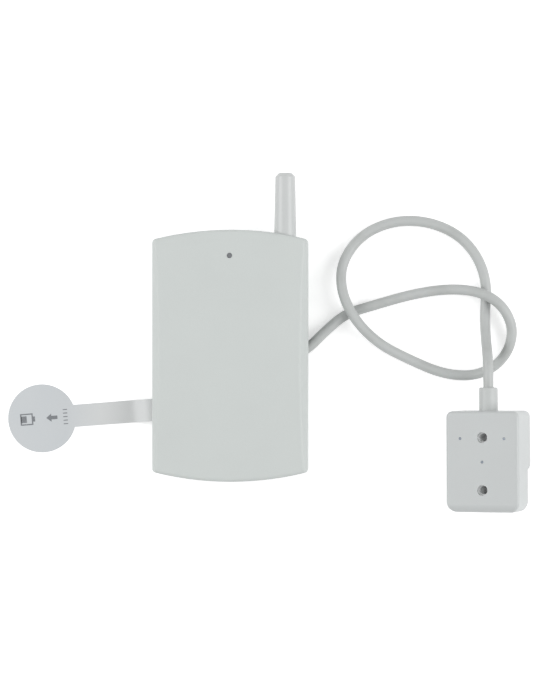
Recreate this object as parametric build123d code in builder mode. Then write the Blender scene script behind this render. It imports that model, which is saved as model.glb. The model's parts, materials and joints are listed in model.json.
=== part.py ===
"""Flood sensor: a wall or table transmitter with a whip antenna, and a wired water probe.

Units are millimetres. The transmitter lies on its back. Its rear face is centred on the origin,
+X is its right side, +Y is the end with the antenna, and +Z points out of its front.
"""

from build123d import *
from math import cos, pi, radians, sin, sqrt, tan
import os

os.makedirs("parts", exist_ok=True)

OVERRUN = 1.0

# Transmitter case
CASE_WIDTH = 60.6
CASE_LENGTH = 98.0
CASE_HEIGHT = 18.0
END_RISE = 3.8
EDGE_BLEND = 1.5
PARTING_HEIGHT = 8.0

# Front cover
COVER_WALL = 2.0
COVER_TOP = 2.2
COVER_INNER_BLEND = 1.0
CROWN_DROP = 2.2
SHOULDER_WIDTH = 2.8
SHOULDER_DROP = 3.4
HOLD_DOWN_THICKNESS = 1.2
HOLD_DOWN_SPREAD = 20.0
HOLD_DOWN_GAP = 0.4

# Rear shell
BASE_INSET = 2.5
BASE_WALL = 2.0
BASE_CORNER_RADIUS = 2.4
BASE_INNER_RADIUS = 1.2
BASE_EDGE = 0.6
FLOOR = 1.5
LEDGE_THICKNESS = 1.6
LEDGE_REVEAL = 0.3
LIP_WALL = 1.2
LIP_HEIGHT = 2.5
LIP_CLEARANCE = 0.25
PRY_SLOT_WIDTH = 10.0
PRY_SLOT_DEPTH = 0.9

# Wall mounting holes, on the case's centre line
MOUNT_HOLE_DIAMETER = 4.2
MOUNT_SEAT_DIAMETER = 8.4
MOUNT_SEAT_HEIGHT = 0.8
MOUNT_UPPER_FROM_CENTRE = 20.0
MOUNT_LOWER_FROM_END = 7.7

# Cable outlet, a recess under the right side of the rear shell
OUTLET_DEPTH = 8.0
OUTLET_WALL = 2.0
OUTLET_CEILING = 6.7
OUTLET_THROAT = 8.0
OUTLET_MOUTH = 18.0
OUTLET_FROM_CENTRE = 0.5
CABLE_DIAMETER = 4.0
CABLE_EXIT_HEIGHT = 4.4
CABLE_HOLE_CLEARANCE = 0.2

# Antenna
ANTENNA_FROM_SIDE = 9.0
ANTENNA_AXIS_HEIGHT = 9.0
ANTENNA_REACH = 22.3
ANTENNA_BASE_DIAMETER = 8.6
ANTENNA_TIP_DIAMETER = 7.8
ANTENNA_TIP_CHAMFER = 1.4
ANTENNA_TIP_BLEND = 0.8
ANTENNA_FLANGE_DIAMETER = 10.0
ANTENNA_FLANGE_THICKNESS = 3.0
ANTENNA_CLEARANCE = 0.15
ANTENNA_SEAT_GAP = 0.2
ELEMENT_DIAMETER = 1.6
ELEMENT_STUB = 1.8
ELEMENT_CLEARANCE = 0.05
ELEMENT_TIP_COVER = 4.0
CRADLE_WALL = 1.2

# Battery bay
CELL_DIAMETER = 10.5
CELL_NUB_DIAMETER = 3.8
CELL_NUB_LENGTH = 1.0
CELL_EDGE = 0.6
CELL_PITCH = 11.5
CELL_SEAT_GAP = 0.05
CELL_LOWER_FROM_END = 16.3
SPRING_ROOM = 6.1
CONTACT_THICKNESS = 0.4
CONTACT_WIDTH = 10.2
CONTACT_BASE = 4.6
CONTACT_HEIGHT = 7.4
CONTACT_WALL_GAP = 0.1
CONTACT_CELL_GAP = 0.05
CONTACT_TAB_WIDTH = 2.4
CONTACT_TAB_HEIGHT = 1.6
CONTACT_TAB_SHIFT = 3.0
POST_DEPTH = 1.4
POST_WIDTH = 1.3
POST_BITE = 0.5
POST_HEIGHT = 9.0
SPRING_WIRE = 0.8
SPRING_DIAMETER = 6.4
SPRING_TURNS = 2.5

# Isolation pull tab, one strip of film
TAB_THICKNESS = 0.25
TAB_WIDTH = 8.8
TAB_DISC_DIAMETER = 26.9
TAB_DISC_FROM_SIDE = 45.1
TAB_SKEW = 4.5
TAB_LIFT_START = 1.0
TAB_LIFT_RUN = 9.0
TAB_OVERLAP = 0.5
TAB_SLOT_HEIGHT = 3.1
TAB_SLOT_CLEARANCE = 0.3
TAB_TOP = 11.4
TAB_GAP = 0.05

# Circuit board
BOARD_THICKNESS = 1.6
BOARD_STANDOFF = 5.5
BOARD_SIDE_GAP = 0.5
BOARD_END_GAP = 1.4
BOARD_CORNER = 1.0
BOARD_BAY_GAP = 3.95
BOARD_NOTCH_GAP = 1.0
BOARD_CABLE_NOTCH = 10.5
MOUNT_ACCESS_DIAMETER = 9.4
BOSS_DIAMETER = 5.4
BOSS_BORE_DIAMETER = 1.7
BOARD_SCREW_LENGTH = 5.0
BOARD_SCREW_HEAD_DIAMETER = 3.8
BOARD_SCREW_HEAD_HEIGHT = 1.4
BOARD_HOLE_DIAMETER = 2.4
SCREW_SLOT_WIDTH = 0.7
SCREW_SLOT_DEPTH = 0.6

# Status light
LIGHT_FROM_END = 10.1
LIGHT_DIAMETER = 2.0
LIGHT_HOLE_CLEARANCE = 0.06
LIGHT_FLANGE_DIAMETER = 3.8
LIGHT_FLANGE_THICKNESS = 0.8
LIGHT_FLANGE_GAP = 0.25
LIGHT_GAP = 0.4
LED_LENGTH = 3.2
LED_WIDTH = 1.6
LED_HEIGHT = 1.4
LED_LENS_DIAMETER = 1.3

# Parts on the board
CHIP_LENGTH = 2.0
CHIP_WIDTH = 1.25
CHIP_HEIGHT = 0.8
CONTROLLER_LENGTH = 10.3
CONTROLLER_WIDTH = 7.5
CONTROLLER_HEIGHT = 2.3
CONTROLLER_PINS_PER_SIDE = 8
RADIO_LENGTH = 4.9
RADIO_WIDTH = 3.9
RADIO_HEIGHT = 1.5
RADIO_PINS_PER_SIDE = 4
PIN_PITCH = 1.27
PIN_WIDTH = 0.45
PIN_THICKNESS = 0.2
PIN_REACH = 1.1
PIN_RISE_SHARE = 0.5
IC_LIFT = 0.1
RESONATOR_DIAMETER = 8.6
RESONATOR_HEIGHT = 3.4
RESONATOR_BRIM = 0.5
CRYSTAL_LENGTH = 11.2
CRYSTAL_WIDTH = 4.6
CRYSTAL_HEIGHT = 3.5
CRYSTAL_BRIM = 0.5
CAPACITOR_DIAMETER = 5.0
CAPACITOR_HEIGHT = 5.4
CAPACITOR_EDGE = 0.4
SOCKET_LENGTH = 7.6
SOCKET_WIDTH = 4.8
SOCKET_HEIGHT = 2.6
SOCKET_WALL = 0.7
PLUG_RISE = 1.6
PLUG_CLEARANCE = 0.1
PLUG_PITCH = 2.0

# Cable end inside the case, its tie and its cores
TAIL_LENGTH = 7.0
CORE_DIAMETER = 1.1
CORE_SPREAD = 0.85
CORE_CLIMB = 2.8
CORE_STAGGER = 1.4
CORE_ANGLE = 120.0
LEAD_RISE = 0.7
LEAD_RUN = 3.3
LEAD_DIAMETER = 1.1
ANTENNA_LEAD_DIAMETER = 0.8
WIRE_SIDES = 6
TIE_WIDTH = 2.4
TIE_THICKNESS = 0.8
TIE_GAP = 0.05
TIE_HEAD_WIDTH = 3.6
TIE_HEAD_DEPTH = 3.0
TIE_FROM_WALL = 0.9

# Probe
PROBE_WIDTH = 29.2
PROBE_LENGTH = 39.0
PROBE_THICKNESS = 18.0
PROBE_ROLL = 17.5
PROBE_YAW = 0.3
PROBE_TOP_RADIUS = 2.4
PROBE_BOTTOM_RADIUS = 4.0
PROBE_FACE_BLEND = 1.2
PROBE_TOE_RADIUS = 3.0
PROBE_BASE_WIDTH = 28.4
PROBE_BASE_THICKNESS = 5.4
PROBE_BASE_STEP = 1.3
PROBE_STEP_START = 1.8
PROBE_STEP_RUN = 3.1
PROBE_BASE_EDGE = 0.8
PROBE_RIM = 2.2
PROBE_RECESS = 2.6
PROBE_INLET_WIDTH = 3.0
PROBE_INLET_HEIGHT = 1.6
PROBE_INLET_PITCH = 5.2
PROBE_INLETS = 3
PROBE_HOLE_DIAMETER = 3.2
PROBE_HOLE_ENTRY = 4.2
PROBE_HOLE_ENTRY_DEPTH = 2.4
PROBE_SCREW_PITCH = 20.3
PROBE_SCREW_SHIFT = -0.75
PROBE_SEAT_DIAMETER = 6.4
ELECTRODE_SPREAD = 17.6
ELECTRODE_ROW = 9.0
ELECTRODE_DIAMETER = 2.2
ELECTRODE_TIP_DIAMETER = 1.1
ELECTRODE_TIP_LENGTH = 3.0
ELECTRODE_HEAD_DIAMETER = 4.0
ELECTRODE_HEAD_THICKNESS = 0.9
ELECTRODE_CLEARANCE = 0.05
COLLAR_DIAMETER = 7.3
COLLAR_LENGTH = 9.1
COLLAR_EDGE = 0.4
COLLAR_SPIGOT_DIAMETER = 5.6
COLLAR_SPIGOT_LENGTH = 3.0
COLLAR_CLEARANCE = 0.05

# Cord routes keep the bend radii just under half of the runs beside each corner
BEND_SHARE = 0.45

# Places that follow from the sizes above
CASE_HALF_WIDTH = CASE_WIDTH / 2
CASE_HALF_LENGTH = CASE_LENGTH / 2
END_RADIUS = (CASE_HALF_WIDTH**2 + END_RISE**2) / (2 * END_RISE)
CROWN_RADIUS = (CASE_HALF_LENGTH**2 + CROWN_DROP**2) / (2 * CROWN_DROP)
INNER_INSET = BASE_INSET + BASE_WALL
INNER_HALF_WIDTH = CASE_HALF_WIDTH - INNER_INSET
LIP_INSET = COVER_WALL + LIP_CLEARANCE


def end_edge(x, inset):
    """The distance from the centre line to the bowed end of the case, drawn in by an inset."""
    return CASE_HALF_LENGTH - END_RADIUS + sqrt((END_RADIUS - inset) ** 2 - x**2)


def crown_height(y, depth):
    """The height of the crowned front, or of the surface at a depth below it."""
    return CASE_HEIGHT - CROWN_RADIUS + sqrt((CROWN_RADIUS - depth) ** 2 - y**2)


# Battery bay
CELL_AXIS_HEIGHT = FLOOR + CELL_SEAT_GAP + CELL_DIAMETER / 2
CELL_TOP = CELL_AXIS_HEIGHT + CELL_DIAMETER / 2
CELL_LOWER_Y = CELL_LOWER_FROM_END - CASE_HALF_LENGTH
CELL_UPPER_Y = CELL_LOWER_Y + CELL_PITCH
CONTACT_X = INNER_HALF_WIDTH - CONTACT_WALL_GAP - CONTACT_THICKNESS / 2
CONTACT_FACE_X = CONTACT_X - CONTACT_THICKNESS / 2
CELL_LENGTH = 2 * CONTACT_FACE_X - SPRING_ROOM
BRIDGE_WIDTH = CONTACT_WIDTH + CELL_PITCH
BRIDGE_Y = (CELL_UPPER_Y + CELL_LOWER_Y) / 2
CONTACT_PLACES = (
    (-1, CELL_UPPER_Y, CONTACT_WIDTH),
    (-1, CELL_LOWER_Y, CONTACT_WIDTH),
    (1, BRIDGE_Y, BRIDGE_WIDTH),
)
CELL_UPPER_NUB_X = -CONTACT_FACE_X + TAB_THICKNESS + 2 * TAB_GAP
CELL_UPPER_FLAT_X = CELL_UPPER_NUB_X + CELL_LENGTH
CELL_LOWER_NUB_X = CONTACT_FACE_X - CONTACT_CELL_GAP
CELL_LOWER_FLAT_X = CELL_LOWER_NUB_X - CELL_LENGTH

# Wall screws, cable outlet and light
MOUNT_UPPER_Y = MOUNT_UPPER_FROM_CENTRE
MOUNT_LOWER_Y = MOUNT_LOWER_FROM_END - CASE_HALF_LENGTH
MOUNT_SEAT_TOP = FLOOR + MOUNT_SEAT_HEIGHT
OUTLET_X = CASE_HALF_WIDTH - BASE_INSET - OUTLET_DEPTH
OUTLET_INNER_X = OUTLET_X - OUTLET_WALL
TAIL_X = OUTLET_X - TAIL_LENGTH
LIGHT_Y = CASE_HALF_LENGTH - LIGHT_FROM_END
LIGHT_TOP = crown_height(LIGHT_Y + LIGHT_DIAMETER / 2, 0)
LIGHT_FLANGE_TOP = crown_height(LIGHT_Y + LIGHT_FLANGE_DIAMETER / 2, COVER_TOP) - LIGHT_FLANGE_GAP

# Antenna root
ANTENNA_X = CASE_HALF_WIDTH - ANTENNA_FROM_SIDE
ANTENNA_HOLE_RADIUS = ANTENNA_BASE_DIAMETER / 2 + ANTENNA_CLEARANCE
ANTENNA_WALL_Y = end_edge(ANTENNA_X, INNER_INSET)
ANTENNA_FLANGE_Y = ANTENNA_WALL_Y - ANTENNA_SEAT_GAP
ANTENNA_ROOT_Y = ANTENNA_FLANGE_Y - ANTENNA_FLANGE_THICKNESS
ANTENNA_TIP_Y = CASE_HALF_LENGTH + ANTENNA_REACH
CRADLE_LEFT = ANTENNA_X - ANTENNA_FLANGE_DIAMETER / 2 - ANTENNA_CLEARANCE - CRADLE_WALL
CRADLE_START = ANTENNA_ROOT_Y - ANTENNA_SEAT_GAP - CRADLE_WALL

# Circuit board
BOARD_BOTTOM_FACE = FLOOR + BOARD_STANDOFF
BOARD_TOP_FACE = BOARD_BOTTOM_FACE + BOARD_THICKNESS
BOARD_HALF_WIDTH = INNER_HALF_WIDTH - BOARD_SIDE_GAP
BOARD_BOTTOM = CELL_UPPER_Y + CELL_DIAMETER / 2 + BOARD_BAY_GAP
BOARD_TOP = end_edge(BOARD_HALF_WIDTH, INNER_INSET) - BOARD_END_GAP
BOARD_LENGTH = BOARD_TOP - BOARD_BOTTOM
BOARD_CABLE_X = OUTLET_INNER_X - BOARD_CABLE_NOTCH
BOARD_CABLE_Y = OUTLET_FROM_CENTRE + OUTLET_MOUTH / 2 + OUTLET_WALL + BOARD_NOTCH_GAP
BOARD_ANTENNA_X = CRADLE_LEFT - BOARD_NOTCH_GAP
BOARD_ANTENNA_Y = CRADLE_START - BOARD_NOTCH_GAP
LED_TOP = BOARD_TOP_FACE + LED_HEIGHT

# Places of the parts on the board, as shares of its half width and its length
BOARD_SCREW_SHARES = ((-0.86, 0.93), (0.84, 0.56), (-0.86, 0.06))
CONTROLLER_SHARES = (-0.46, 0.27)
RADIO_SHARES = (0.36, 0.74)
RESONATOR_SHARES = (0.50, 0.58)
CRYSTAL_SHARES = (-0.52, 0.76)
CAPACITOR_SHARES = (-0.66, 0.52)
SOCKET_SHARES = (0.10, 0.24)
ANTENNA_PAD_SHARES = (0.80, 0.86)
RED_PAD_SHARES = (-0.60, 0.07)
BLACK_PAD_SHARES = (-0.44, 0.05)
CHIP_SHARES = (
    (0.24, 0.88),
    (0.42, 0.88),
    (-0.26, 0.86),
    (-0.30, 0.46),
    (-0.84, 0.40),
    (-0.84, 0.46),
    (0.66, 0.76),
    (0.10, 0.45),
    (-0.14, 0.06),
    (0.14, 0.06),
    (-0.26, 0.62),
    (0.84, 0.76),
)

# Probe
PROBE_HALF_THICKNESS = PROBE_THICKNESS / 2
PROBE_BASE_TOP = PROBE_BASE_THICKNESS - PROBE_HALF_THICKNESS
PROBE_RECESS_FLOOR = PROBE_RECESS - PROBE_HALF_THICKNESS
PROBE_AXIS_HEIGHT = (
    (PROBE_BASE_WIDTH / 2 - PROBE_BASE_EDGE) * sin(radians(PROBE_ROLL))
    + (PROBE_HALF_THICKNESS - PROBE_BASE_EDGE) * cos(radians(PROBE_ROLL))
    + PROBE_BASE_EDGE
)

# Route of the probe cable: out of the outlet, once round a loose crossing loop, into the probe's collar
CABLE_ROUTE = (
    (OUTLET_X, OUTLET_FROM_CENTRE, CABLE_EXIT_HEIGHT),
    (23.4, OUTLET_FROM_CENTRE, CABLE_EXIT_HEIGHT),
    (27.1, 1.45, 4.2),
    (30.7, 3.5, 3.75),
    (36.0, 9.0, 2.8),
    (44.4, 16.4, 2.0),
    (55.0, 19.6, 2.0),
    (71.0, 24.2, 2.3),
    (85.0, 26.2, 4.6),
    (97.0, 25.0, 6.9),
    (105.3, 20.2, 6.8),
    (109.7, 12.2, 4.5),
    (109.2, 4.6, 2.6),
    (105.9, -1.3, 2.0),
    (100.6, -5.7, 2.0),
    (93.0, -8.0, 2.0),
    (82.0, -6.9, 2.0),
    (69.5, -1.5, 2.2),
    (57.5, 4.6, 4.4),
    (48.2, 14.0, 6.9),
    (43.0, 25.0, 6.8),
    (42.9, 36.2, 3.6),
    (50.0, 46.8, 2.0),
    (62.0, 52.6, 2.0),
    (75.5, 52.9, 2.0),
    (88.0, 48.0, 2.0),
    (96.0, 39.4, 2.0),
    (99.8, 28.4, 2.0),
    (99.0, 17.0, 2.3),
    (99.2, 8.0, 5.2),
    (100.2, -2.7, PROBE_AXIS_HEIGHT),
    (100.25, -12.25, PROBE_AXIS_HEIGHT),
)

YAW = radians(PROBE_YAW)
ROLL = radians(PROBE_ROLL)
COLLAR_END = Vector(*CABLE_ROUTE[-1])
PROBE_LENGTHWISE = Vector(-sin(YAW), cos(YAW), 0)
PROBE = Plane(
    origin=COLLAR_END - PROBE_LENGTHWISE * (COLLAR_LENGTH + PROBE_LENGTH / 2),
    x_dir=(cos(YAW) * cos(ROLL), sin(YAW) * cos(ROLL), sin(ROLL)),
    z_dir=(-cos(YAW) * sin(ROLL), -sin(YAW) * sin(ROLL), cos(ROLL)),
)
PROBE_SIDE = Plane(origin=PROBE.origin, x_dir=PROBE_LENGTHWISE, z_dir=PROBE.x_dir)
PROBE_END = Plane(
    origin=PROBE.origin + PROBE_LENGTHWISE * (PROBE_LENGTH / 2),
    x_dir=-PROBE.x_dir,
    z_dir=PROBE_LENGTHWISE,
)
PROBE_NORMAL = Axis(PROBE.origin, PROBE.z_dir)
PROBE_LENGTH_AXIS = Axis(PROBE.origin, PROBE_LENGTHWISE)
PROBE_SCREW_PLACES = (
    (0, PROBE_SCREW_SHIFT + PROBE_SCREW_PITCH / 2),
    (0, PROBE_SCREW_SHIFT - PROBE_SCREW_PITCH / 2),
)
ELECTRODE_PLACES = (
    (-ELECTRODE_SPREAD / 2, ELECTRODE_ROW),
    (ELECTRODE_SPREAD / 2, ELECTRODE_ROW),
    (0, 0),
)
ELECTRODE_SHOULDER = PROBE_HALF_THICKNESS - ELECTRODE_TIP_LENGTH


def save(piece, label):
    """Name a finished piece and write it."""
    piece.part.label = label
    export_step(piece.part, f"parts/{label}.step")


def case_outline(plane, inset, corner=0):
    """The outline of the case, drawn in by an inset: straight sides, bowed ends."""
    half_width = CASE_HALF_WIDTH - inset
    shoulder = end_edge(half_width, inset)
    apex = CASE_HALF_LENGTH - inset
    with BuildSketch(plane) as outline:
        with BuildLine():
            Line((half_width, -shoulder), (half_width, shoulder))
            ThreePointArc((half_width, shoulder), (0, apex), (-half_width, shoulder))
            Line((-half_width, shoulder), (-half_width, -shoulder))
            ThreePointArc((-half_width, -shoulder), (0, -apex), (half_width, -shoulder))
        make_face()
        if corner:
            fillet(outline.vertices(), radius=corner)
    return outline.sketch


def crown_profile(depth):
    """The side view of the cover: a low arch along its length."""
    reach = CASE_HALF_LENGTH + OVERRUN
    edge = crown_height(reach, depth)
    with BuildSketch(Plane.YZ) as profile:
        with BuildLine():
            Polyline((-reach, edge), (-reach, 0), (reach, 0), (reach, edge))
            ThreePointArc((reach, edge), (0, CASE_HEIGHT - depth), (-reach, edge))
        make_face()
    return profile.sketch


def shoulder_profile(inset):
    """The end view of the cover: upright sides with a sloping shoulder above each."""
    slant = sqrt(SHOULDER_WIDTH**2 + SHOULDER_DROP**2)
    shoulder_z = CASE_HEIGHT - SHOULDER_DROP
    reach = CASE_HALF_WIDTH * SHOULDER_DROP + shoulder_z * SHOULDER_WIDTH - inset * slant
    side = CASE_HALF_WIDTH - inset
    knee = (reach - side * SHOULDER_DROP) / SHOULDER_WIDTH
    top = CASE_HEIGHT + OVERRUN
    top_side = (reach - top * SHOULDER_WIDTH) / SHOULDER_DROP
    right = ((side, 0), (side, knee), (top_side, top))
    left = ((-top_side, top), (-side, knee), (-side, 0))
    with BuildSketch(Plane.XZ) as profile:
        with BuildLine():
            Polyline(*right, *left, close=True)
        make_face()
    return profile.sketch


def cover_form(inset, depth, bottom, corner=0):
    """The solid form of the cover, or of its hollow: the case's outline under a crown and two shoulders."""
    with BuildPart() as form:
        extrude(case_outline(Plane.XY.offset(bottom), inset, corner), amount=CASE_HEIGHT - bottom)
        extrude(crown_profile(depth), amount=CASE_WIDTH, both=True, mode=Mode.INTERSECT)
        extrude(shoulder_profile(inset), amount=CASE_LENGTH, both=True, mode=Mode.INTERSECT)
    return form.part


def outlet_outline():
    """The recess that the cable leaves through, seen from the rear: wider towards the side."""
    slope = (OUTLET_MOUTH - OUTLET_THROAT) / (2 * OUTLET_DEPTH)
    beyond = CASE_HALF_WIDTH + OVERRUN
    throat = OUTLET_THROAT / 2
    mouth = throat + slope * (beyond - OUTLET_X)
    with BuildSketch() as outline:
        with BuildLine():
            Polyline(
                (OUTLET_X, OUTLET_FROM_CENTRE - throat),
                (beyond, OUTLET_FROM_CENTRE - mouth),
                (beyond, OUTLET_FROM_CENTRE + mouth),
                (OUTLET_X, OUTLET_FROM_CENTRE + throat),
                close=True,
            )
        make_face()
    return outline.sketch


def board_place(shares):
    """A place on the circuit board from shares of its half width and its length."""
    x_share, y_share = shares
    return x_share * BOARD_HALF_WIDTH, BOARD_BOTTOM + y_share * BOARD_LENGTH


def corner_radii(route):
    """Bend radii for a route of straight runs: nearly as large as the runs beside each corner allow."""
    points = [Vector(*point) for point in route]
    runs = [after - before for before, after in zip(points, points[1:])]
    return [
        BEND_SHARE * min(first.length, second.length) / tan(radians(first.get_angle(second)) / 2)
        for first, second in zip(runs, runs[1:])
    ]


def centre_line(route):
    """The middle of a round cord or wire: straight runs joined by tangent arcs."""
    with BuildLine() as path:
        FilletPolyline(*route, radius=corner_radii(route))
    return path.line


def tube(route, diameter):
    """A round cord along a route."""
    path = centre_line(route)
    with BuildPart() as run:
        with BuildSketch(Plane(origin=path @ 0, z_dir=path % 0)):
            Circle(diameter / 2)
        sweep(path=path)
    return run


def wire(route, diameter):
    """A thin wire along a route, with a many-sided section."""
    path = centre_line(route)
    with BuildPart() as run:
        with BuildSketch(Plane(origin=path @ 0, z_dir=path % 0)):
            RegularPolygon(diameter / 2, WIRE_SIDES)
        sweep(path=path)
    return run


def post_places():
    """Centres of the posts that stand at both ends of each contact plate."""
    reach = POST_WIDTH / 2 - POST_BITE
    return [
        (side * (INNER_HALF_WIDTH - POST_DEPTH / 2), y + end * (width / 2 + reach))
        for side, y, width in CONTACT_PLACES
        for end in (-1, 1)
    ]


BOARD_SCREW_PLACES = [board_place(shares) for shares in BOARD_SCREW_SHARES]

# Front cover: a crowned shell with a hole for the light and two ribs that hold the cells down
with BuildPart() as front_cover:
    add(cover_form(0, 0, PARTING_HEIGHT))
    parting_face = front_cover.faces().sort_by(Axis.Z)[0]
    fillet(front_cover.edges() - parting_face.edges(), radius=EDGE_BLEND)
    hollow = cover_form(COVER_WALL, COVER_TOP, PARTING_HEIGHT - OVERRUN, COVER_INNER_BLEND)
    add(hollow, mode=Mode.SUBTRACT)
    with BuildSketch(Plane.XY.offset(CELL_TOP + HOLD_DOWN_GAP)):
        with Locations((0, BRIDGE_Y)):
            with GridLocations(HOLD_DOWN_SPREAD, 0, 2, 1):
                Rectangle(HOLD_DOWN_THICKNESS, CELL_PITCH + CELL_DIAMETER / 2)
    extrude(until=Until.NEXT)
    with Locations((0, LIGHT_Y, CASE_HEIGHT)):
        Hole(radius=LIGHT_DIAMETER / 2 + LIGHT_HOLE_CLEARANCE, depth=CASE_HEIGHT - PARTING_HEIGHT)
    with BuildSketch(Plane.XZ.offset(-ANTENNA_FLANGE_Y)):
        with Locations((ANTENNA_X, ANTENNA_AXIS_HEIGHT)):
            Circle(ANTENNA_HOLE_RADIUS)
        with Locations((ANTENNA_X, ANTENNA_AXIS_HEIGHT - ANTENNA_HOLE_RADIUS)):
            Rectangle(2 * ANTENNA_HOLE_RADIUS, 2 * ANTENNA_HOLE_RADIUS)
    extrude(amount=ANTENNA_FLANGE_Y - CASE_HALF_LENGTH, mode=Mode.SUBTRACT)
save(front_cover, "front_cover")

# Light pipe: a clear rod with a flange under the cover
with BuildPart() as light_pipe:
    with BuildSketch(Plane.XY.offset(LED_TOP + LIGHT_GAP)):
        with Locations((0, LIGHT_Y)):
            Circle(LIGHT_DIAMETER / 2)
    extrude(amount=LIGHT_TOP - LED_TOP - LIGHT_GAP)
    with BuildSketch(Plane.XY.offset(LIGHT_FLANGE_TOP - LIGHT_FLANGE_THICKNESS)):
        with Locations((0, LIGHT_Y)):
            Circle(LIGHT_FLANGE_DIAMETER / 2)
    extrude(amount=LIGHT_FLANGE_THICKNESS)
save(light_pipe, "light_pipe")

# Rear shell: a tray with a ledge and a lip for the cover, and a recess where the cable leaves
with BuildPart() as rear_shell:
    extrude(case_outline(Plane.XY, BASE_INSET, BASE_CORNER_RADIUS), amount=PARTING_HEIGHT)
    chamfer(rear_shell.faces().sort_by(Axis.Z)[0].edges(), length=BASE_EDGE)
    ledge_plane = Plane.XY.offset(PARTING_HEIGHT - LEDGE_THICKNESS)
    extrude(case_outline(ledge_plane, LEDGE_REVEAL, EDGE_BLEND), amount=LEDGE_THICKNESS)
    extrude(
        case_outline(ledge_plane, LIP_INSET, BASE_INNER_RADIUS),
        amount=LEDGE_THICKNESS + LIP_HEIGHT,
    )
    extrude(
        case_outline(Plane.XY.offset(PARTING_HEIGHT), LIP_INSET + LIP_WALL, BASE_INNER_RADIUS),
        amount=LIP_HEIGHT,
        mode=Mode.SUBTRACT,
    )
    extrude(
        case_outline(Plane.XY.offset(FLOOR), INNER_INSET, BASE_INNER_RADIUS),
        amount=PARTING_HEIGHT,
        mode=Mode.SUBTRACT,
    )
    # Recess for the cable, with its own wall and ceiling
    with BuildSketch():
        add(outlet_outline())
        offset(amount=OUTLET_WALL, kind=Kind.INTERSECTION)
        add(case_outline(Plane.XY, BASE_INSET + BASE_EDGE), mode=Mode.INTERSECT)
    extrude(amount=PARTING_HEIGHT)
    extrude(outlet_outline(), amount=OUTLET_CEILING, mode=Mode.SUBTRACT)
    with BuildSketch(Plane.YZ.offset(OUTLET_INNER_X - OVERRUN)):
        with Locations((OUTLET_FROM_CENTRE, CABLE_EXIT_HEIGHT)):
            Circle(CABLE_DIAMETER / 2 + CABLE_HOLE_CLEARANCE)
    extrude(amount=OUTLET_WALL + 2 * OVERRUN, mode=Mode.SUBTRACT)
    # Cradle for the antenna's flange, and the notch that its shaft leaves through
    into_wall = BASE_WALL / 2
    with BuildSketch(Plane.XY.offset(FLOOR)):
        with BuildLine():
            Polyline(
                (CRADLE_LEFT, CRADLE_START),
                (INNER_HALF_WIDTH + into_wall, CRADLE_START),
                (INNER_HALF_WIDTH + into_wall, end_edge(INNER_HALF_WIDTH, INNER_INSET) + into_wall),
                (CRADLE_LEFT, end_edge(CRADLE_LEFT, INNER_INSET) + into_wall),
                close=True,
            )
        make_face()
    extrude(amount=PARTING_HEIGHT - FLOOR)
    with BuildSketch(Plane.XZ.offset(-ANTENNA_WALL_Y)):
        with Locations((ANTENNA_X, ANTENNA_AXIS_HEIGHT)):
            Circle(ANTENNA_FLANGE_DIAMETER / 2 + ANTENNA_CLEARANCE)
    extrude(amount=ANTENNA_FLANGE_THICKNESS + 2 * ANTENNA_SEAT_GAP, mode=Mode.SUBTRACT)
    with BuildSketch(Plane.XZ.offset(-CRADLE_START)):
        with Locations((ANTENNA_X, ANTENNA_AXIS_HEIGHT)):
            Circle(ANTENNA_HOLE_RADIUS)
        with Locations((ANTENNA_X, ANTENNA_AXIS_HEIGHT + ANTENNA_HOLE_RADIUS)):
            Rectangle(2 * ANTENNA_HOLE_RADIUS, 2 * ANTENNA_HOLE_RADIUS)
    extrude(amount=CRADLE_START - CASE_HALF_LENGTH, mode=Mode.SUBTRACT)
    # Bosses for the circuit board, with their screw bores
    with BuildSketch(Plane.XY.offset(FLOOR)):
        with Locations(*BOARD_SCREW_PLACES):
            Circle(BOSS_DIAMETER / 2)
    extrude(amount=BOARD_STANDOFF)
    with Locations(*[(x, y, BOARD_BOTTOM_FACE) for x, y in BOARD_SCREW_PLACES]):
        Hole(radius=BOSS_BORE_DIAMETER / 2, depth=BOARD_STANDOFF)
    # Seats and holes for two wall screws
    with BuildSketch(Plane.XY.offset(FLOOR)):
        with Locations((0, MOUNT_UPPER_Y), (0, MOUNT_LOWER_Y)):
            Circle(MOUNT_SEAT_DIAMETER / 2)
        add(case_outline(Plane.XY.offset(FLOOR), INNER_INSET), mode=Mode.INTERSECT)
    extrude(amount=MOUNT_SEAT_HEIGHT)
    with Locations((0, MOUNT_UPPER_Y, MOUNT_SEAT_TOP), (0, MOUNT_LOWER_Y, MOUNT_SEAT_TOP)):
        Hole(radius=MOUNT_HOLE_DIAMETER / 2, depth=MOUNT_SEAT_TOP)
    # Posts that hold the contact plates against the side walls
    with BuildSketch(Plane.XY.offset(FLOOR)):
        with Locations(*post_places()):
            Rectangle(POST_DEPTH, POST_WIDTH)
    extrude(amount=POST_HEIGHT - FLOOR)
    for side, y, width in CONTACT_PLACES:
        with BuildSketch(Plane.XY.offset(FLOOR)):
            with Locations((side * CONTACT_X, y)):
                Rectangle(CONTACT_THICKNESS + 2 * CONTACT_WALL_GAP, width + 2 * CONTACT_WALL_GAP)
        extrude(amount=POST_HEIGHT, mode=Mode.SUBTRACT)
    # Slot in the left wall for the pull tab
    with BuildSketch(Plane.YZ.offset(-CASE_HALF_WIDTH)):
        with Locations((CELL_UPPER_Y, TAB_SLOT_HEIGHT + TAB_THICKNESS / 2)):
            Rectangle(TAB_WIDTH + 2 * TAB_SLOT_CLEARANCE, TAB_THICKNESS + 2 * TAB_SLOT_CLEARANCE)
    extrude(amount=INNER_INSET, mode=Mode.SUBTRACT)
    # Slot in the lower end of the ledge, for prying the cover off
    with BuildSketch(ledge_plane):
        with Locations((0, LEDGE_REVEAL - CASE_HALF_LENGTH)):
            Rectangle(PRY_SLOT_WIDTH, 2 * PRY_SLOT_DEPTH)
    extrude(amount=LEDGE_THICKNESS, mode=Mode.SUBTRACT)
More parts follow.
